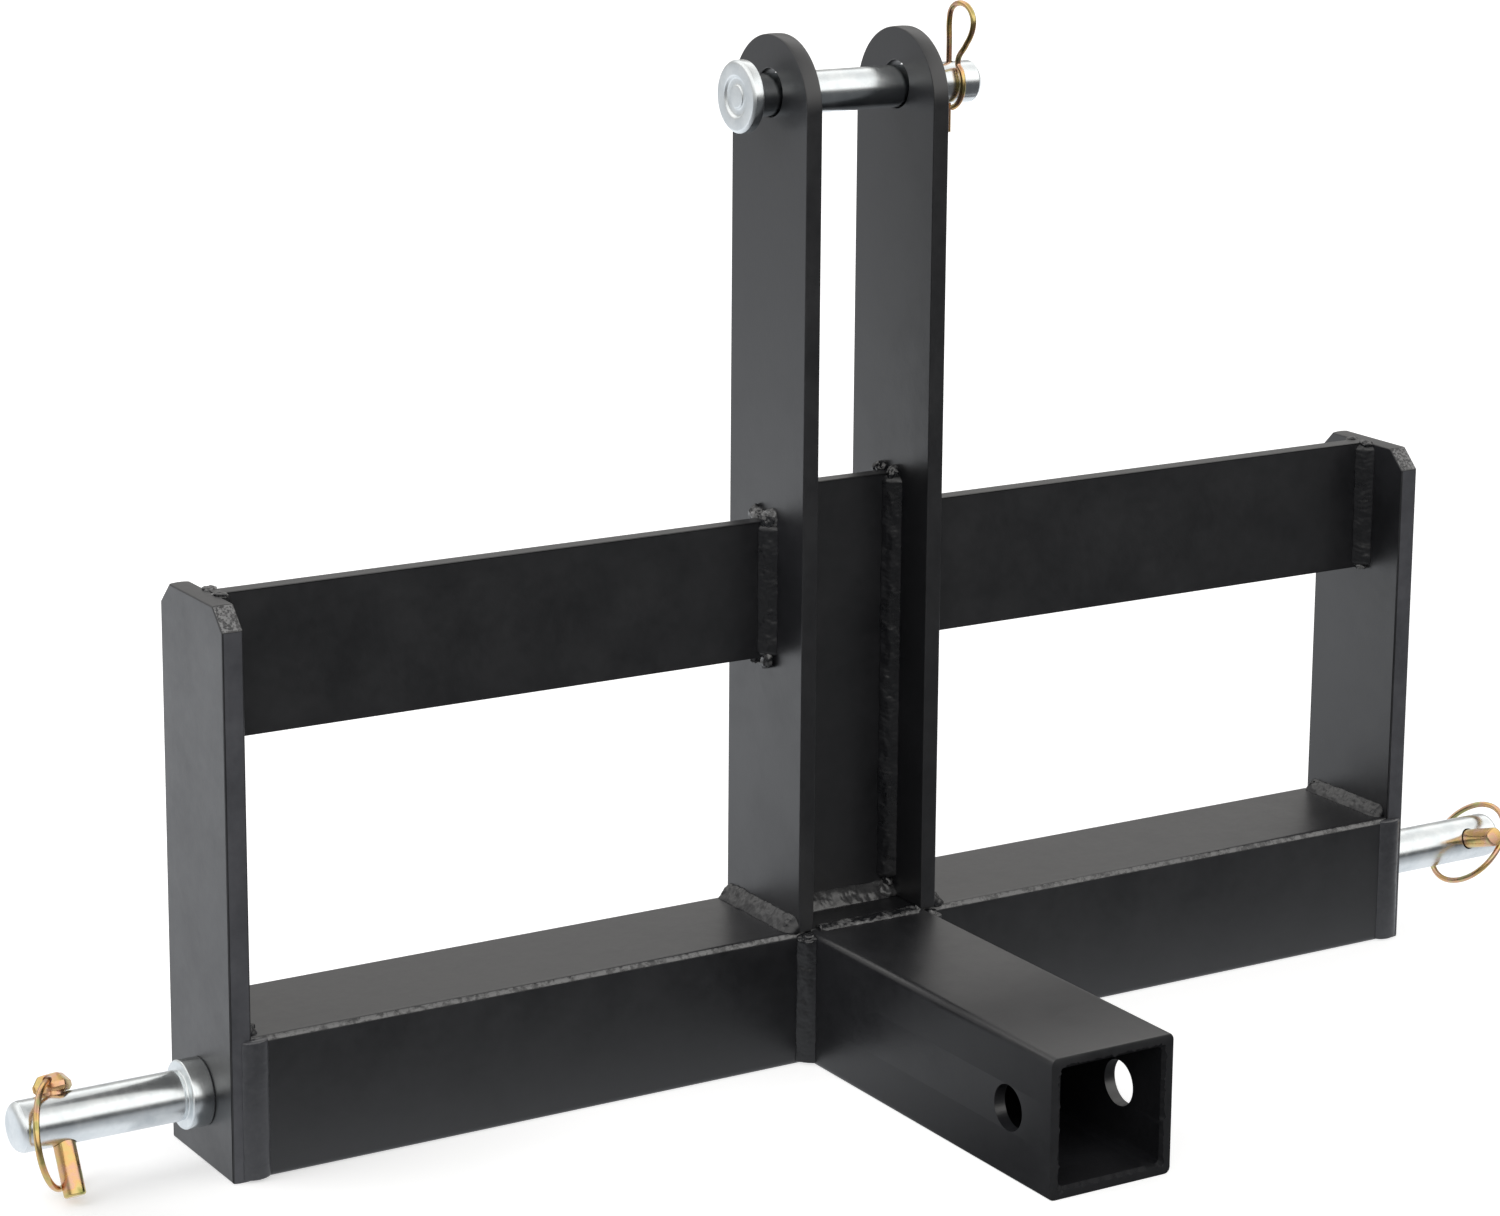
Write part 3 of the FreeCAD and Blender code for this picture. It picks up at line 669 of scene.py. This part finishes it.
def squareLoop(half, radius, runs=1, turns=6):
    loop = []
    for quarter in range(4):
        start = math.pi / 2 * quarter
        middle = start + math.pi / 4
        centre = Vector((
            math.copysign(half - radius, math.cos(middle)),
            math.copysign(half - radius, math.sin(middle)),
        ))
        arc = [
            centre + radius * Vector((math.cos(start + a), math.sin(start + a)))
            for a in (math.pi / 2 * k / turns for k in range(turns + 1))
        ]
        if loop:
            last = loop[-1]
            loop += [last.lerp(arc[0], k / runs) for k in range(1, runs)]
        loop += arc
    last = loop[-1]
    loop += [last.lerp(loop[0], k / runs) for k in range(1, runs)]
    return loop


def makeCrossbar():
    low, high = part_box("crossbar_tube")
    half = (high.z - low.z) / 2
    middle = Vector((0, (low.y + high.y) / 2, (low.z + high.z) / 2))
    outer = squareLoop(half, tube["corner"])
    inner = squareLoop(half - tube["wall"], tube["inside"])
    build = bmesh.new()
    rings = [
        [build.verts.new(middle + Vector((place, p.x, p.y))) for p in loop]
        for loop, place in ((outer, low.x), (outer, high.x), (inner, high.x), (inner, low.x))
    ]
    skin(build, [*rings, rings[0]])
    mesh = settle(closeMesh(build, "crossbar"))
    # Faces on the top front corner take the painted edge highlight.
    for face in mesh.polygons:
        atTop = face.center.z > middle.z + half - tube["highlightBand"]
        if atTop and face.normal.y < -0.5 and face.normal.z > 0.2:
            face.material_index = 1
    addPiece("crossbar", mesh, (coatFinish, edgeHighlightFinish), "crossbar_tube")


def rodMesh(name, centre, way, radius, half, count=96):
    build = bmesh.new()
    turn = way.to_track_quat("Z", "Y").to_matrix().to_4x4()
    bmesh.ops.create_cone(
        build, cap_ends=True, segments=count, radius1=radius, radius2=radius, depth=2 * half,
        matrix=Matrix.Translation(centre) @ turn,
    )
    return toMesh(build, name)


def makeReceiver():
    low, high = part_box("receiver_tube")
    half = (high.z - low.z) / 2
    middle = Vector(((low.x + high.x) / 2, 0, (low.z + high.z) / 2))
    mouth, broken, lead = low.y, tube["broken"], tube["leadIn"]
    bore = half - tube["wall"]
    outer = squareLoop(half, tube["corner"], tube["mouthSteps"])
    inner = squareLoop(bore, tube["inside"], tube["mouthSteps"])
    # The lead-in was ground by hand, so its edge wavers.
    wavy = []
    for p in inner:
        sway = sum(
            share * noise.noise(Vector((p.x, p.y, level)) * scale)
            for scale, share, level in tube["waves"]
        )
        wavy.append(p * ((bore + lead + tube["ragged"] * sway) / bore))
    build = bmesh.new()
    rings = [
        [build.verts.new(middle + Vector((p.x, place, p.y))) for p in loop]
        for loop, place in (
            (outer, high.y), (outer, mouth + broken),
            (insetLoop(outer, broken * 0.25), mouth + broken * 0.25),
            (insetLoop(outer, broken), mouth), (wavy, mouth), (inner, mouth + lead),
            (inner, high.y),
        )
    ]
    skin(build, [*rings, rings[0]])
    mesh = closeMesh(build, "receiver")
    centre = Vector((0, mouth + tube["holeBack"], middle.z))
    cutter = rodMesh("holeCutter", centre, alongX, tube["hole"] / 2, half * tube["drill"])
    mesh = bored(mesh, cutter)
    for face in mesh.polygons:
        off = face.center - middle
        fromHole = math.hypot(face.center.y - centre.y, off.z)
        inHole = fromHole < tube["hole"] / 2 + 0.05 * mm and abs(face.normal.x) < 0.5
        inside = max(abs(off.x), abs(off.z)) < half - 0.4 * tube["wall"]
        if inside and face.normal.y > -0.9 and not inHole:
            face.material_index = 1
    addPiece("receiver", mesh, (coatFinish, insideFinish), "receiver_tube")


makeCrossbar()
makeReceiver()
print("tubes made")


# Turned pieces: a profile of (along, radius) pairs spun about an axis.
def latheMesh(name, profile, start, way, count=96):
    build = bmesh.new()
    turn = way.to_track_quat("Z", "Y").to_matrix()
    rings = []
    for along, radius in profile:
        if radius < 0.0001 * mm:
            rings.append([build.verts.new(start + way * along)])
            continue
        rings.append([
            build.verts.new(start + way * along + turn @ Vector((
                radius * math.cos(2 * math.pi * k / count),
                radius * math.sin(2 * math.pi * k / count), 0,
            )))
            for k in range(count)
        ])
    for lower, upper in zip(rings, rings[1:]):
        for k in range(count):
            if len(lower) == 1:
                build.faces.new((lower[0], upper[k], upper[k - 1]))
            elif len(upper) == 1:
                build.faces.new((lower[k - 1], lower[k], upper[0]))
            else:
                build.faces.new((lower[k - 1], lower[k], upper[k], upper[k - 1]))
    return closeMesh(build, name)


def softProfile(points, radius, steps=3):
    profile = [points[0]]
    for k in range(1, len(points) - 1):
        here = Vector(points[k])
        before = Vector(points[k - 1]) - here
        after = Vector(points[k + 1]) - here
        reach = min(radius, before.length * 0.45, after.length * 0.45)
        start = here + before.normalized() * reach
        end = here + after.normalized() * reach
        profile += bend(start, here, end, steps)
    profile.append(points[-1])
    return profile


# Lower link pins: a collar against the side plate, a groove, the shank and its rounded tip.
linkPin = {
    "shank": 11.0 * mm, "collar": 15.0 * mm, "collarWide": 10.0 * mm, "reach": 75.5 * mm,
    "tip": 4.5 * mm, "tipSteps": 8, "tail": 9.5 * mm, "tailLong": 16.0 * mm,
    "groove": 0.45 * mm, "grooveWide": 1.3 * mm, "rise": 0.6 * mm, "soft": 0.9 * mm,
    "crossHole": 10.5 * mm, "drill": 20.0 * mm,
}


def lynchFrame(name):
    swing = joints[f"ring_swing_{name}"]
    up = Vector(joints[f"lynch_draw_{name}"]["axis"]).normalized()
    return up, -Vector(swing["axis"]).normalized(), Vector(swing["pos_m"])


# Tips, collars and rims that look along the pin get the duller finish, whose colour is painted
# paler as light falling on them.
def markEnds(mesh):
    for face in mesh.polygons:
        if abs(face.normal.x) > 0.35:
            face.material_index = 1


def makeLinkPins():
    shank, collar, wide = linkPin["shank"], linkPin["collar"], linkPin["collarWide"]
    tail, back, tip = linkPin["tail"], -linkPin["tailLong"], linkPin["tip"]
    neck, grooveEnd = shank - linkPin["groove"], wide + linkPin["grooveWide"]
    end = wide + linkPin["reach"]
    points = [
        (back, 0), (back, tail), (0, tail), (0, collar), (wide, collar), (wide, neck),
        (grooveEnd, neck), (grooveEnd + linkPin["rise"], shank),
    ]
    for k in range(linkPin["tipSteps"] + 1):
        angle = math.pi / 2 * k / linkPin["tipSteps"]
        points.append((end - tip * (1 - math.sin(angle)), shank - tip * (1 - math.cos(angle))))
    points.append((end, 0))
    profile = softProfile(points, linkPin["soft"], 4)
    for name, side in sides:
        low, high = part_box(f"side_plate_{name}")
        start = Vector((high.x if side > 0 else low.x, 0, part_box("crossbar_tube")[1].z / 2))
        mesh = latheMesh(f"linkPin_{name}", profile, start, alongX * side)
        up, bore, pivot = lynchFrame(name)
        centre = Vector((pivot.x, 0, start.z))
        mesh = bored(mesh, rodMesh(
            "crossCutter", centre, up, linkPin["crossHole"] / 2, linkPin["drill"], 64
        ))
        markEnds(mesh)
        addPiece(
            f"linkPin_{name}", mesh, (whiteFinish, paintedPaleEndFinish), f"lower_link_pin_{name}",
        )


# Top link pin: a head with a ring-shaped recess on the left, a small bevel on the right.
topPin = {
    "shaft": 9.5 * mm, "tip": 2.0 * mm, "head": 16.2 * mm, "thick": 5.5 * mm,
    "recessOut": 9.5 * mm, "recessIn": 5.6 * mm, "deep": 1.2 * mm, "button": 0.45 * mm,
    "buttonSlope": 0.7 * mm, "rim": 1.2 * mm, "neck": 0.5 * mm, "soft": 0.5 * mm,
    "clipHole": 3.6 * mm, "drill": 20.0 * mm,
}


def makeTopPin():
    low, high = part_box("top_link_pin")
    start = Vector((low.x, 0, (low.z + high.z) / 2))
    long = high.x - low.x
    deep, button, rim, neck = (topPin[key] for key in ("deep", "button", "rim", "neck"))
    head, thick, shaft, tip = (topPin[key] for key in ("head", "thick", "shaft", "tip"))
    points = [
        (button, 0), (button, topPin["recessIn"] - topPin["buttonSlope"]),
        (deep, topPin["recessIn"]), (deep, topPin["recessOut"] - deep), (0, topPin["recessOut"]),
        (0, head - rim), (rim, head), (thick, head), (thick, shaft + neck),
        (thick + neck, shaft), (long - tip, shaft), (long, shaft - tip), (long, 0),
    ]
    mesh = latheMesh("topLinkPin", softProfile(points, topPin["soft"]), start, alongX)
    clipLow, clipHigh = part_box("hairpin_clip")
    centre = Vector(((clipLow.x + clipHigh.x) / 2, 0, start.z))
    mesh = bored(mesh, rodMesh(
        "clipCutter", centre, alongZ, topPin["clipHole"] / 2, topPin["drill"], 48
    ))
    markEnds(mesh)
    addPiece(
        "topLinkPin", mesh, (whiteFinish, paintedPaleEndFinish), "top_link_pin", "top_pin"
    )


makeLinkPins()
makeTopPin()
print("turned pins made")


def addSocket(tree, name, kind, value=None):
    socket = tree.interface.new_socket(name, in_out="INPUT", socket_type=f"NodeSocket{kind}")
    if value is not None:
        socket.default_value = value
    return socket.identifier


# A tree ends here: real geometry, one finish, and a second one where it is marked.
def endTree(tree, geometry, finish, *more):
    real = addNode(tree, "GeometryNodeRealizeInstances", {"Geometry": geometry})
    last = addNode(tree, "GeometryNodeSetMaterial", {
        "Geometry": real.outputs[0], "Material": finish,
    })
    for where, other in more:
        last = addNode(tree, "GeometryNodeSetMaterial", {
            "Geometry": last.outputs[0], "Selection": where, "Material": other,
        })
    addNode(tree, "NodeGroupOutput", {0: last.outputs[0]})


# A wire along a path: the path is a row of points, and the wire is round.
def makeWireTree():
    tree = bpy.data.node_groups.new("wireAlongPath", "GeometryNodeTree")
    addSocket(tree, "Path", "Geometry")
    tree.interface.new_socket("Wire", in_out="OUTPUT", socket_type="NodeSocketGeometry")
    keys = {
        "thick": addSocket(tree, "Wire diameter", "Float", 2.8 * mm),
        "points": addSocket(tree, "Points along", "Int", 160),
        "finish": addSocket(tree, "Finish", "Material"),
    }
    given = addNode(tree, "NodeGroupInput").outputs
    line = addNode(tree, "GeometryNodeMeshToCurve", {"Mesh": given["Path"]})
    smooth = addNode(
        tree, "GeometryNodeCurveSplineType", {"Curve": line.outputs[0]}, spline_type="BEZIER"
    )
    handles = addNode(
        tree, "GeometryNodeCurveSetHandles", {"Curve": smooth.outputs[0]}, handle_type="AUTO",
        mode={"LEFT", "RIGHT"},
    )
    even = addNode(tree, "GeometryNodeResampleCurve", {
        "Curve": handles.outputs[0], "Count": given["Points along"],
    })
    section = addNode(tree, "GeometryNodeCurvePrimitiveCircle", {
        "Resolution": 20, "Radius": times(tree, given["Wire diameter"], 0.5),
    })
    body = addNode(tree, "GeometryNodeCurveToMesh", {
        "Curve": even.outputs[0], "Profile Curve": section.outputs[0], "Fill Caps": True,
    })
    endTree(tree, body.outputs[0], given["Finish"])
    return tree, keys


# Runs a tree over a mesh once. An input is set by its socket's identifier.
def growMesh(name, base, tree, keys, **values):
    bench = addObject("bench", base)
    grow = bench.modifiers.new("grow", "NODES")
    grow.node_group = tree
    for key, value in values.items():
        grow[keys[key]] = value
    return freeze(bench, name)


def wireMesh(name, points, closed, thick, steps):
    path = bpy.data.meshes.new("path")
    edges = [(k, k + 1) for k in range(len(points) - 1)]
    if closed:
        edges.append((len(points) - 1, 0))
    path.from_pydata(points, edges, [])
    mesh = growMesh(name, path, *wire, thick=thick, points=steps, finish=yellowFinish)
    mesh.shade_smooth()
    return mesh


wire = makeWireTree()

# Lynch pins: a plain shank, a forged head with soft facets, and a ring through the head.
lynchPin = {
    "shank": 4.75 * mm, "seat": 11.2 * mm, "sunk": 0.4 * mm, "chamfer": 0.7 * mm,
    "soft": 0.3 * mm, "tip": {"left": 33.0 * mm, "right": 30.8 * mm},  # the right one is shorter
    "pivot": 16.5 * mm, "ringBore": 2.1 * mm, "drill": 12.0 * mm,
    "ringMean": 22.5 * mm, "ringWire": 2.8 * mm, "ringGap": 0.25 * mm, "ringSteps": 72,
    # in mm: height above the link pin's axis, half width across the bore, half depth along it
    "headLevels": [
        (11.2, 5.9, 4.1), (11.35, 6.2, 4.4), (12.6, 7.15, 5.1), (12.85, 7.3, 5.2),
        (14.9, 7.3, 5.2), (15.2, 7.15, 5.1), (18.6, 4.8, 3.8), (18.9, 4.4, 3.5),
        (19.1, 3.6, 2.9),
    ],
    "headCorner": 0.26,
}


def makeLynchPin(name, up, bore, pivot):
    across = bore.cross(up)
    middle = pivot - up * lynchPin["pivot"]
    build = bmesh.new()
    rings = [
        [
            build.verts.new(
                middle + up * rise * mm + across * p.x * wide * mm + bore * p.y * deep * mm
            )
            for p in squareLoop(1.0, lynchPin["headCorner"])
        ]
        for rise, wide, deep in lynchPin["headLevels"]
    ]
    skin(build, rings)
    build.faces.new(rings[0])
    build.faces.new(rings[-1])
    cutter = rodMesh("ringCutter", pivot, bore, lynchPin["ringBore"], lynchPin["drill"], 40)
    head = bored(closeMesh(build, "lynchHead"), cutter)
    tip, chamfer, radius = lynchPin["tip"][name], lynchPin["chamfer"], lynchPin["shank"]
    top = lynchPin["seat"] + lynchPin["sunk"]
    points = [(-tip, 0), (-tip, radius - chamfer), (chamfer - tip, radius), (top, radius), (top, 0)]
    shank = latheMesh("lynchShank", softProfile(points, lynchPin["soft"]), middle, up, 64)
    both = bmesh.new()
    for half in (head, shank):
        both.from_mesh(half)
        bpy.data.meshes.remove(half)
    mesh = shade(toMesh(both, f"lynchPin_{name}"), 20.0)
    addPiece(
        f"lynchPin_{name}", mesh, (yellowFinish,), f"lynch_pin_{name}", f"lynch_{name}",
    )


# The ring hangs from the head's bore and rests against the shank, so it leans a little.
def makeLynchRing(name, up, bore, pivot):
    across, mean = bore.cross(up), lynchPin["ringMean"]
    standOff = lynchPin["shank"] + lynchPin["ringWire"] / 2 + lynchPin["ringGap"]
    lean = math.asin(standOff / (2 * mean))
    down = across * math.sin(lean) - up * math.cos(lean)
    centre = pivot + down * mean
    angles = [2 * math.pi * k / lynchPin["ringSteps"] for k in range(lynchPin["ringSteps"])]
    spots = [centre + mean * (bore * math.sin(a) - down * math.cos(a)) for a in angles]
    mesh = wireMesh(f"lynchRing_{name}", spots, True, lynchPin["ringWire"], 144)
    addPiece(f"lynchRing_{name}", mesh, (), f"lynch_ring_{name}", f"ring_{name}")


# Hairpin clip: one wire, a straight leg through the pin and a bent leg round its front.
hairpin = {
    "wire": 2.6 * mm, "rise": 37.0 * mm, "drop": 22.5 * mm, "wide": 19.0 * mm, "hug": 11.6 * mm,
    "leg": [0.5, 0.80],  # shares of the rise, and of the width in the eye
    "eye": [
        (0.06, 0.89), (0.20, 0.955), (0.38, 0.985), (0.58, 0.985), (0.78, 0.95), (0.92, 0.885),
        (0.99, 0.80), (0.97, 0.70), (0.86, 0.59), (0.70, 0.49),
    ],
    "hugAngles": [52, 30, 8, -14, -36, -58, -74],
}


def makeHairpin():
    low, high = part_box("hairpin_clip")
    pinLow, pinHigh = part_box("top_link_pin")
    base = Vector(((low.x + high.x) / 2, 0, (pinLow.z + pinHigh.z) / 2))
    flat = [(0, -hairpin["drop"]), (0, 0)]
    flat += [(0, share * hairpin["rise"]) for share in hairpin["leg"]]
    flat += [(-x * hairpin["wide"], y * hairpin["rise"]) for x, y in hairpin["eye"]]
    for angle in map(math.radians, hairpin["hugAngles"]):
        flat.append((-math.cos(angle) * hairpin["hug"], math.sin(angle) * hairpin["hug"]))
    points = [base + Vector((0, y, z)) for y, z in flat]
    mesh = shade(wireMesh("hairpinClip", points, False, hairpin["wire"], 180), 50.0)
    addPiece("hairpinClip", mesh, (), "hairpin_clip", "clip")


for name, side in sides:
    makeLynchPin(name, *lynchFrame(name))
    makeLynchRing(name, *lynchFrame(name))
makeHairpin()
print("lynch pins, rings and clip made")

# What every bead's surface shares. A scale is a noise texture's own, in waves to the metre, or
# on a lump, in waves to its radius.
beadSkin = {
    "rows": 16, "lane": 14.0 * mm, "bow": 0.9, "jitter": 0.7, "jitterScale": 160.0,
    "crest": 0.6, "wanderScale": 110.0, "grainScale": 420.0,
    "lumpUneven": 0.8, "lumpScale": 1.1, "lumpOut": 0.24,
}


# Weld beads. A bead fills the corner between two faces, or lies over a flush seam. Side A and
# side B are the two ways in which it reaches out from its corner line.
def makeBeadTree():
    tree = bpy.data.node_groups.new("weldBead", "GeometryNodeTree")
    tree.interface.new_socket("Bead", in_out="OUTPUT", socket_type="NodeSocketGeometry")
    keys = {}
    for kind, inputs in (
        ("Vector", {"start": "Start", "along": "Along", "sideA": "Side A", "sideB": "Side B"}),
        ("Float", {
            "length": "Length", "reachA": "Reach A", "reachB": "Reach B", "sweep": "Sweep",
            "pitch": "Ripple pitch", "ripple": "Ripple depth", "wander": "Wander",
            "rough": "Grain", "flat": "Flatness", "crown": "Crown power",
            "lowLump": "Lump at start", "highLump": "Lump at end", "inset": "Lump inset",
            "squash": "Lump squash", "dome": "Dome", "seed": "Seed",
        }),
        ("Int", {"columns": "Columns"}),
        ("Material", {"finish": "Finish", "lumpFinish": "Lump finish"}),
    ):
        for key, name in inputs.items():
            keys[key] = addSocket(tree, name, kind)
    given = addNode(tree, "NodeGroupInput").outputs
    rows = beadSkin["rows"]
    lastRow = float(rows - 1)
    grid = addNode(tree, "GeometryNodeMeshGrid", {
        "Size X": 1.0, "Size Y": 1.0, "Vertices X": given["Columns"], "Vertices Y": rows,
    })
    spot = split(tree, addNode(tree, "GeometryNodeInputPosition").outputs[0])
    row = times(tree, plus(tree, spot["Y"], 0.5), lastRow)
    sweepShare = spread(tree, row, 1.0, lastRow - 1, 0.0, 1.0)
    fromEdge = calc(tree, "MINIMUM", row, minus(tree, lastRow, row))
    isOut = calc(tree, "GREATER_THAN", fromEdge, 0.5)
    run = times(tree, plus(tree, spot["X"], 0.5), given["Length"])
    angle = times(tree, sweepShare, given["Sweep"])
    sine, cosine = calc(tree, "SINE", angle), calc(tree, "COSINE", angle)

    def noiseAt(vector, scale, detail=2.0):
        speckle = addNode(tree, "ShaderNodeTexNoise", {
            "Vector": vector, "W": given["Seed"], "Scale": scale, "Detail": detail,
        }, noise_dimensions="4D")
        return minus(tree, times(tree, speckle.outputs["Fac"], 2.0), 1.0)

    lane = addNode(tree, "ShaderNodeCombineXYZ", {
        "X": run, "Y": times(tree, sweepShare, beadSkin["lane"]),
    }).outputs[0]
    # Ripples lag in the middle of the bead, as crescents.
    beat = plus(
        tree, calc(tree, "DIVIDE", run, given["Ripple pitch"]),
        times(tree, calc(tree, "SINE", times(tree, sweepShare, math.pi)), beadSkin["bow"]),
        times(tree, noiseAt(lane, beadSkin["jitterScale"]), beadSkin["jitter"]),
    )
    wave = calc(tree, "ABSOLUTE", calc(tree, "SINE", times(tree, beat, math.pi)))
    wave = calc(tree, "POWER", wave, beadSkin["crest"])
    dip = times(tree, minus(tree, 1.0, wave), given["Ripple depth"])
    drift = times(tree, noiseAt(lane, beadSkin["wanderScale"]), given["Wander"])
    speck = times(tree, noiseAt(lane, beadSkin["grainScale"], 3.0), given["Grain"])
    # A full flatness is the straight line from toe to toe.
    chord = calc(tree, "DIVIDE", 1.0, plus(tree, calc(tree, "ABSOLUTE", cosine), sine))
    hollow = times(tree, minus(tree, 1.0, chord), given["Flatness"])
    size = minus(tree, plus(tree, 1.0, drift, speck), plus(tree, dip, hollow))

    # Both ends are domes.
    dome = times(tree, given["Reach A"], given["Dome"])

    def roundOff(distance):
        rest = minus(tree, 1.0, calc(tree, "DIVIDE", distance, dome, clamp=True))
        return calc(tree, "SQRT", minus(tree, 1.0, times(tree, rest, rest)))

    def spotAt(distance, outA, outB):
        steps = (("Along", distance), ("Side A", outA), ("Side B", outB))
        return shifted(
            tree, given["Start"], *(scaled(tree, given[way], step) for way, step in steps)
        )

    size = times(tree, size, roundOff(run), roundOff(minus(tree, given["Length"], run)), isOut)
    lift = calc(tree, "POWER", calc(tree, "MAXIMUM", sine, 0.0), given["Crown power"])
    shaped = addNode(tree, "GeometryNodeSetPosition", {
        "Geometry": grid.outputs["Mesh"], "Position": spotAt(
            run, times(tree, size, given["Reach A"], cosine),
            times(tree, size, given["Reach B"], lift),
        ),
    })
    merged = addNode(tree, "GeometryNodeMergeByDistance", {
        "Geometry": shaped.outputs[0], "Distance": 0.01 * mm,
    })

    # A lump of spatter at each end.
    def lump(radius, end):
        ball = addNode(tree, "GeometryNodeMeshIcoSphere", {"Subdivisions": 4, "Radius": 1.0})
        point = addNode(tree, "GeometryNodeInputPosition").outputs[0]
        speckle = noiseAt(shifted(tree, point, (float(end), 0, 0)), beadSkin["lumpScale"], 3.0)
        uneven = plus(tree, 1.0, times(tree, speckle, beadSkin["lumpUneven"]))
        onAxis = vectorCalc(tree, "DOT_PRODUCT", point, given["Along"], "Value")
        squash = scaled(tree, given["Along"], times(tree, onAxis, given["Lump squash"]))
        squashed = vectorCalc(tree, "SUBTRACT", point, squash)
        distance = given["Lump inset"]
        if end:
            distance = minus(tree, given["Length"], distance)
        centre = spotAt(distance, *(
            times(tree, given[way], beadSkin["lumpOut"]) for way in ("Reach A", "Reach B")
        ))
        surface = scaled(tree, squashed, times(tree, uneven, radius))
        placed = addNode(tree, "GeometryNodeSetPosition", {
            "Geometry": ball.outputs["Mesh"], "Position": shifted(tree, centre, surface),
        })
        return addNode(tree, "GeometryNodeStoreNamedAttribute", {
            "Geometry": placed.outputs[0], "Name": "spatter", "Value": 1.0,
        }, data_type="FLOAT", domain="FACE").outputs[0]

    joined = addNode(tree, "GeometryNodeJoinGeometry")
    lumps = (lump(given["Lump at start"], 0), lump(given["Lump at end"], 1))
    for part in (merged.outputs[0], *lumps):
        feed(tree, joined.inputs[0], part)
    smooth = addNode(tree, "GeometryNodeSetShadeSmooth", {"Geometry": joined.outputs[0]})
    mark = addNode(tree, "GeometryNodeInputNamedAttribute", {"Name": "spatter"}, data_type="FLOAT")
    isLump = calc(tree, "GREATER_THAN", mark.outputs["Attribute"], 0.5)
    endTree(tree, smooth.outputs[0], given["Finish"], (isLump, given["Lump finish"]))
    return tree, keys


# A bead starts a little inside the steel. The rest are the tree's inputs, and a bead may
# change them.
bead = {"sink": 0.35 * mm, "step": 0.4 * mm}
beadUsual = {
    "pitch": 2.3 * mm, "ripple": 0.012, "wander": 0.13, "rough": 0.03, "flat": 0.72,
    "crown": 1.0, "lowLump": 3.3 * mm, "highLump": 3.3 * mm, "inset": 0.8 * mm,
    "squash": 0.45, "dome": 0.55, "finish": beadFinish, "lumpFinish": spatterFinish,
}
beadOnSeam = {"flat": 0.0, "crown": 1.25}
beadTree = makeBeadTree()


# The corner line of a fillet bead is the edge of its node's box on the steel's side.
def addBead(node, sideA, sideB, seed, seam=False, longer=0.0, moved=0.0, taller=0.0, **changes):
    low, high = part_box(node)
    along = Vector([0 if sideA[k] or sideB[k] else 1 for k in range(3)])
    start = Vector(low)
    wide = {}
    for key, way in (("reachA", sideA), ("reachB", sideB)):
        k = [axis for axis in range(3) if way[axis]][0]
        wide[key] = high[k] - low[k]
        start[k] = low[k] if way[k] > 0 else high[k]
        if seam and key == "reachA":
            wide[key] /= 2
            start[k] = (low[k] + high[k]) / 2
        else:
            start[k] -= way[k] * bead["sink"]
            wide[key] += bead["sink"]
    if along.dot(sideA.cross(sideB)) > 0:
        sideA, sideB = (-sideA, sideB) if seam else (sideB, sideA)
        if not seam:
            wide = {"reachA": wide["reachB"], "reachB": wide["reachA"]}
    wide["reachB"] += taller
    length = (high - low).dot(along) + 2 * longer
    start += sideA * moved - along * longer
    values = {**beadUsual, **(beadOnSeam if seam else {}), **changes}
    name = "bead" + "".join(word.capitalize() for word in node.split("_")[1:])
    mesh = growMesh(
        name, bpy.data.meshes.new("blank"), *beadTree, start=start, along=along, sideA=sideA,
        sideB=sideB, length=length, sweep=math.pi if seam else math.pi / 2,
        columns=int(length / bead["step"]) + 2, seed=float(seed), **wide, **values,
    )
    addPiece(name, mesh, (), node)


def makeBeads():
    seed = 3
    faces = (("front", -alongY), ("rear", alongY))
    plain = {"inset": 4.0 * mm, "lumpFinish": beadFinish}
    for name, side in sides:
        outward = alongX * side
        for place, way in faces:
            addBead(
                f"weld_bar_mast_{name}_{place}", outward, way, seed, lowLump=3.6 * mm,
                highLump=4.0 * mm, squash=-0.25, inset=-0.8 * mm,
            )
            addBead(f"weld_bar_plate_{name}_{place}", -outward, way, seed + 1)
            addBead(
                f"weld_web_mast_{name}_{place}", -outward, way, seed + 2, squash=0.0, inset=0.0
            )
            seed += 3
        addBead(
            f"weld_mast_foot_{name}", outward, alongZ, seed, wander=0.26, rough=0.06, **plain
        )
        addBead(
            f"weld_crossbar_plate_{name}", -outward, alongZ, seed + 1, wander=0.18, **plain
        )
        addBead(
            f"weld_receiver_{name}", outward, -alongY, seed + 2, wander=0.16, lowLump=1.5 * mm,
            highLump=4.6 * mm, longer=2.4 * mm, dome=0.25, inset=2.5 * mm,
        )
        addBead(
            f"weld_plate_seam_{name}", outward, -alongY, seed + 3, seam=True, wander=0.08,
            lowLump=0.5 * mm, highLump=0.5 * mm, longer=2.6 * mm, dome=0.18, inset=3.0 * mm,
            moved=1.5 * mm, taller=0.9 * mm, rough=0.05, finish=seamSheenFinish,
            lumpFinish=seamSheenFinish,
        )
        seed += 4
    for place, way in faces:
        addBead(
            f"weld_web_foot_{place}", way, alongZ, seed, wander=0.20, rough=0.012,
            highLump=5.0 * mm, squash=0.0, inset=3.0 * mm, finish=footFinish,
            lumpFinish=footFinish,
        )
        seed += 1
    addBead(
        "weld_receiver_top", alongY, alongZ, seed, seam=True, wander=0.30, rough=0.30,
        lowLump=1.6 * mm, highLump=2.0 * mm, finish=spatterFinish,
    )


makeBeads()
print("weld beads made")

# The welds round the pins' tails lie inside the closed crossbar and keep their CAD shape.
for name, side in sides:
    hidden = nodes[f"tail_weld_{name}"]
    if not hidden.material_slots:
        hidden.data.materials.append(None)
    for place in hidden.material_slots:
        place.link = "OBJECT"
        place.material = beadFinish

print("hitch finished")
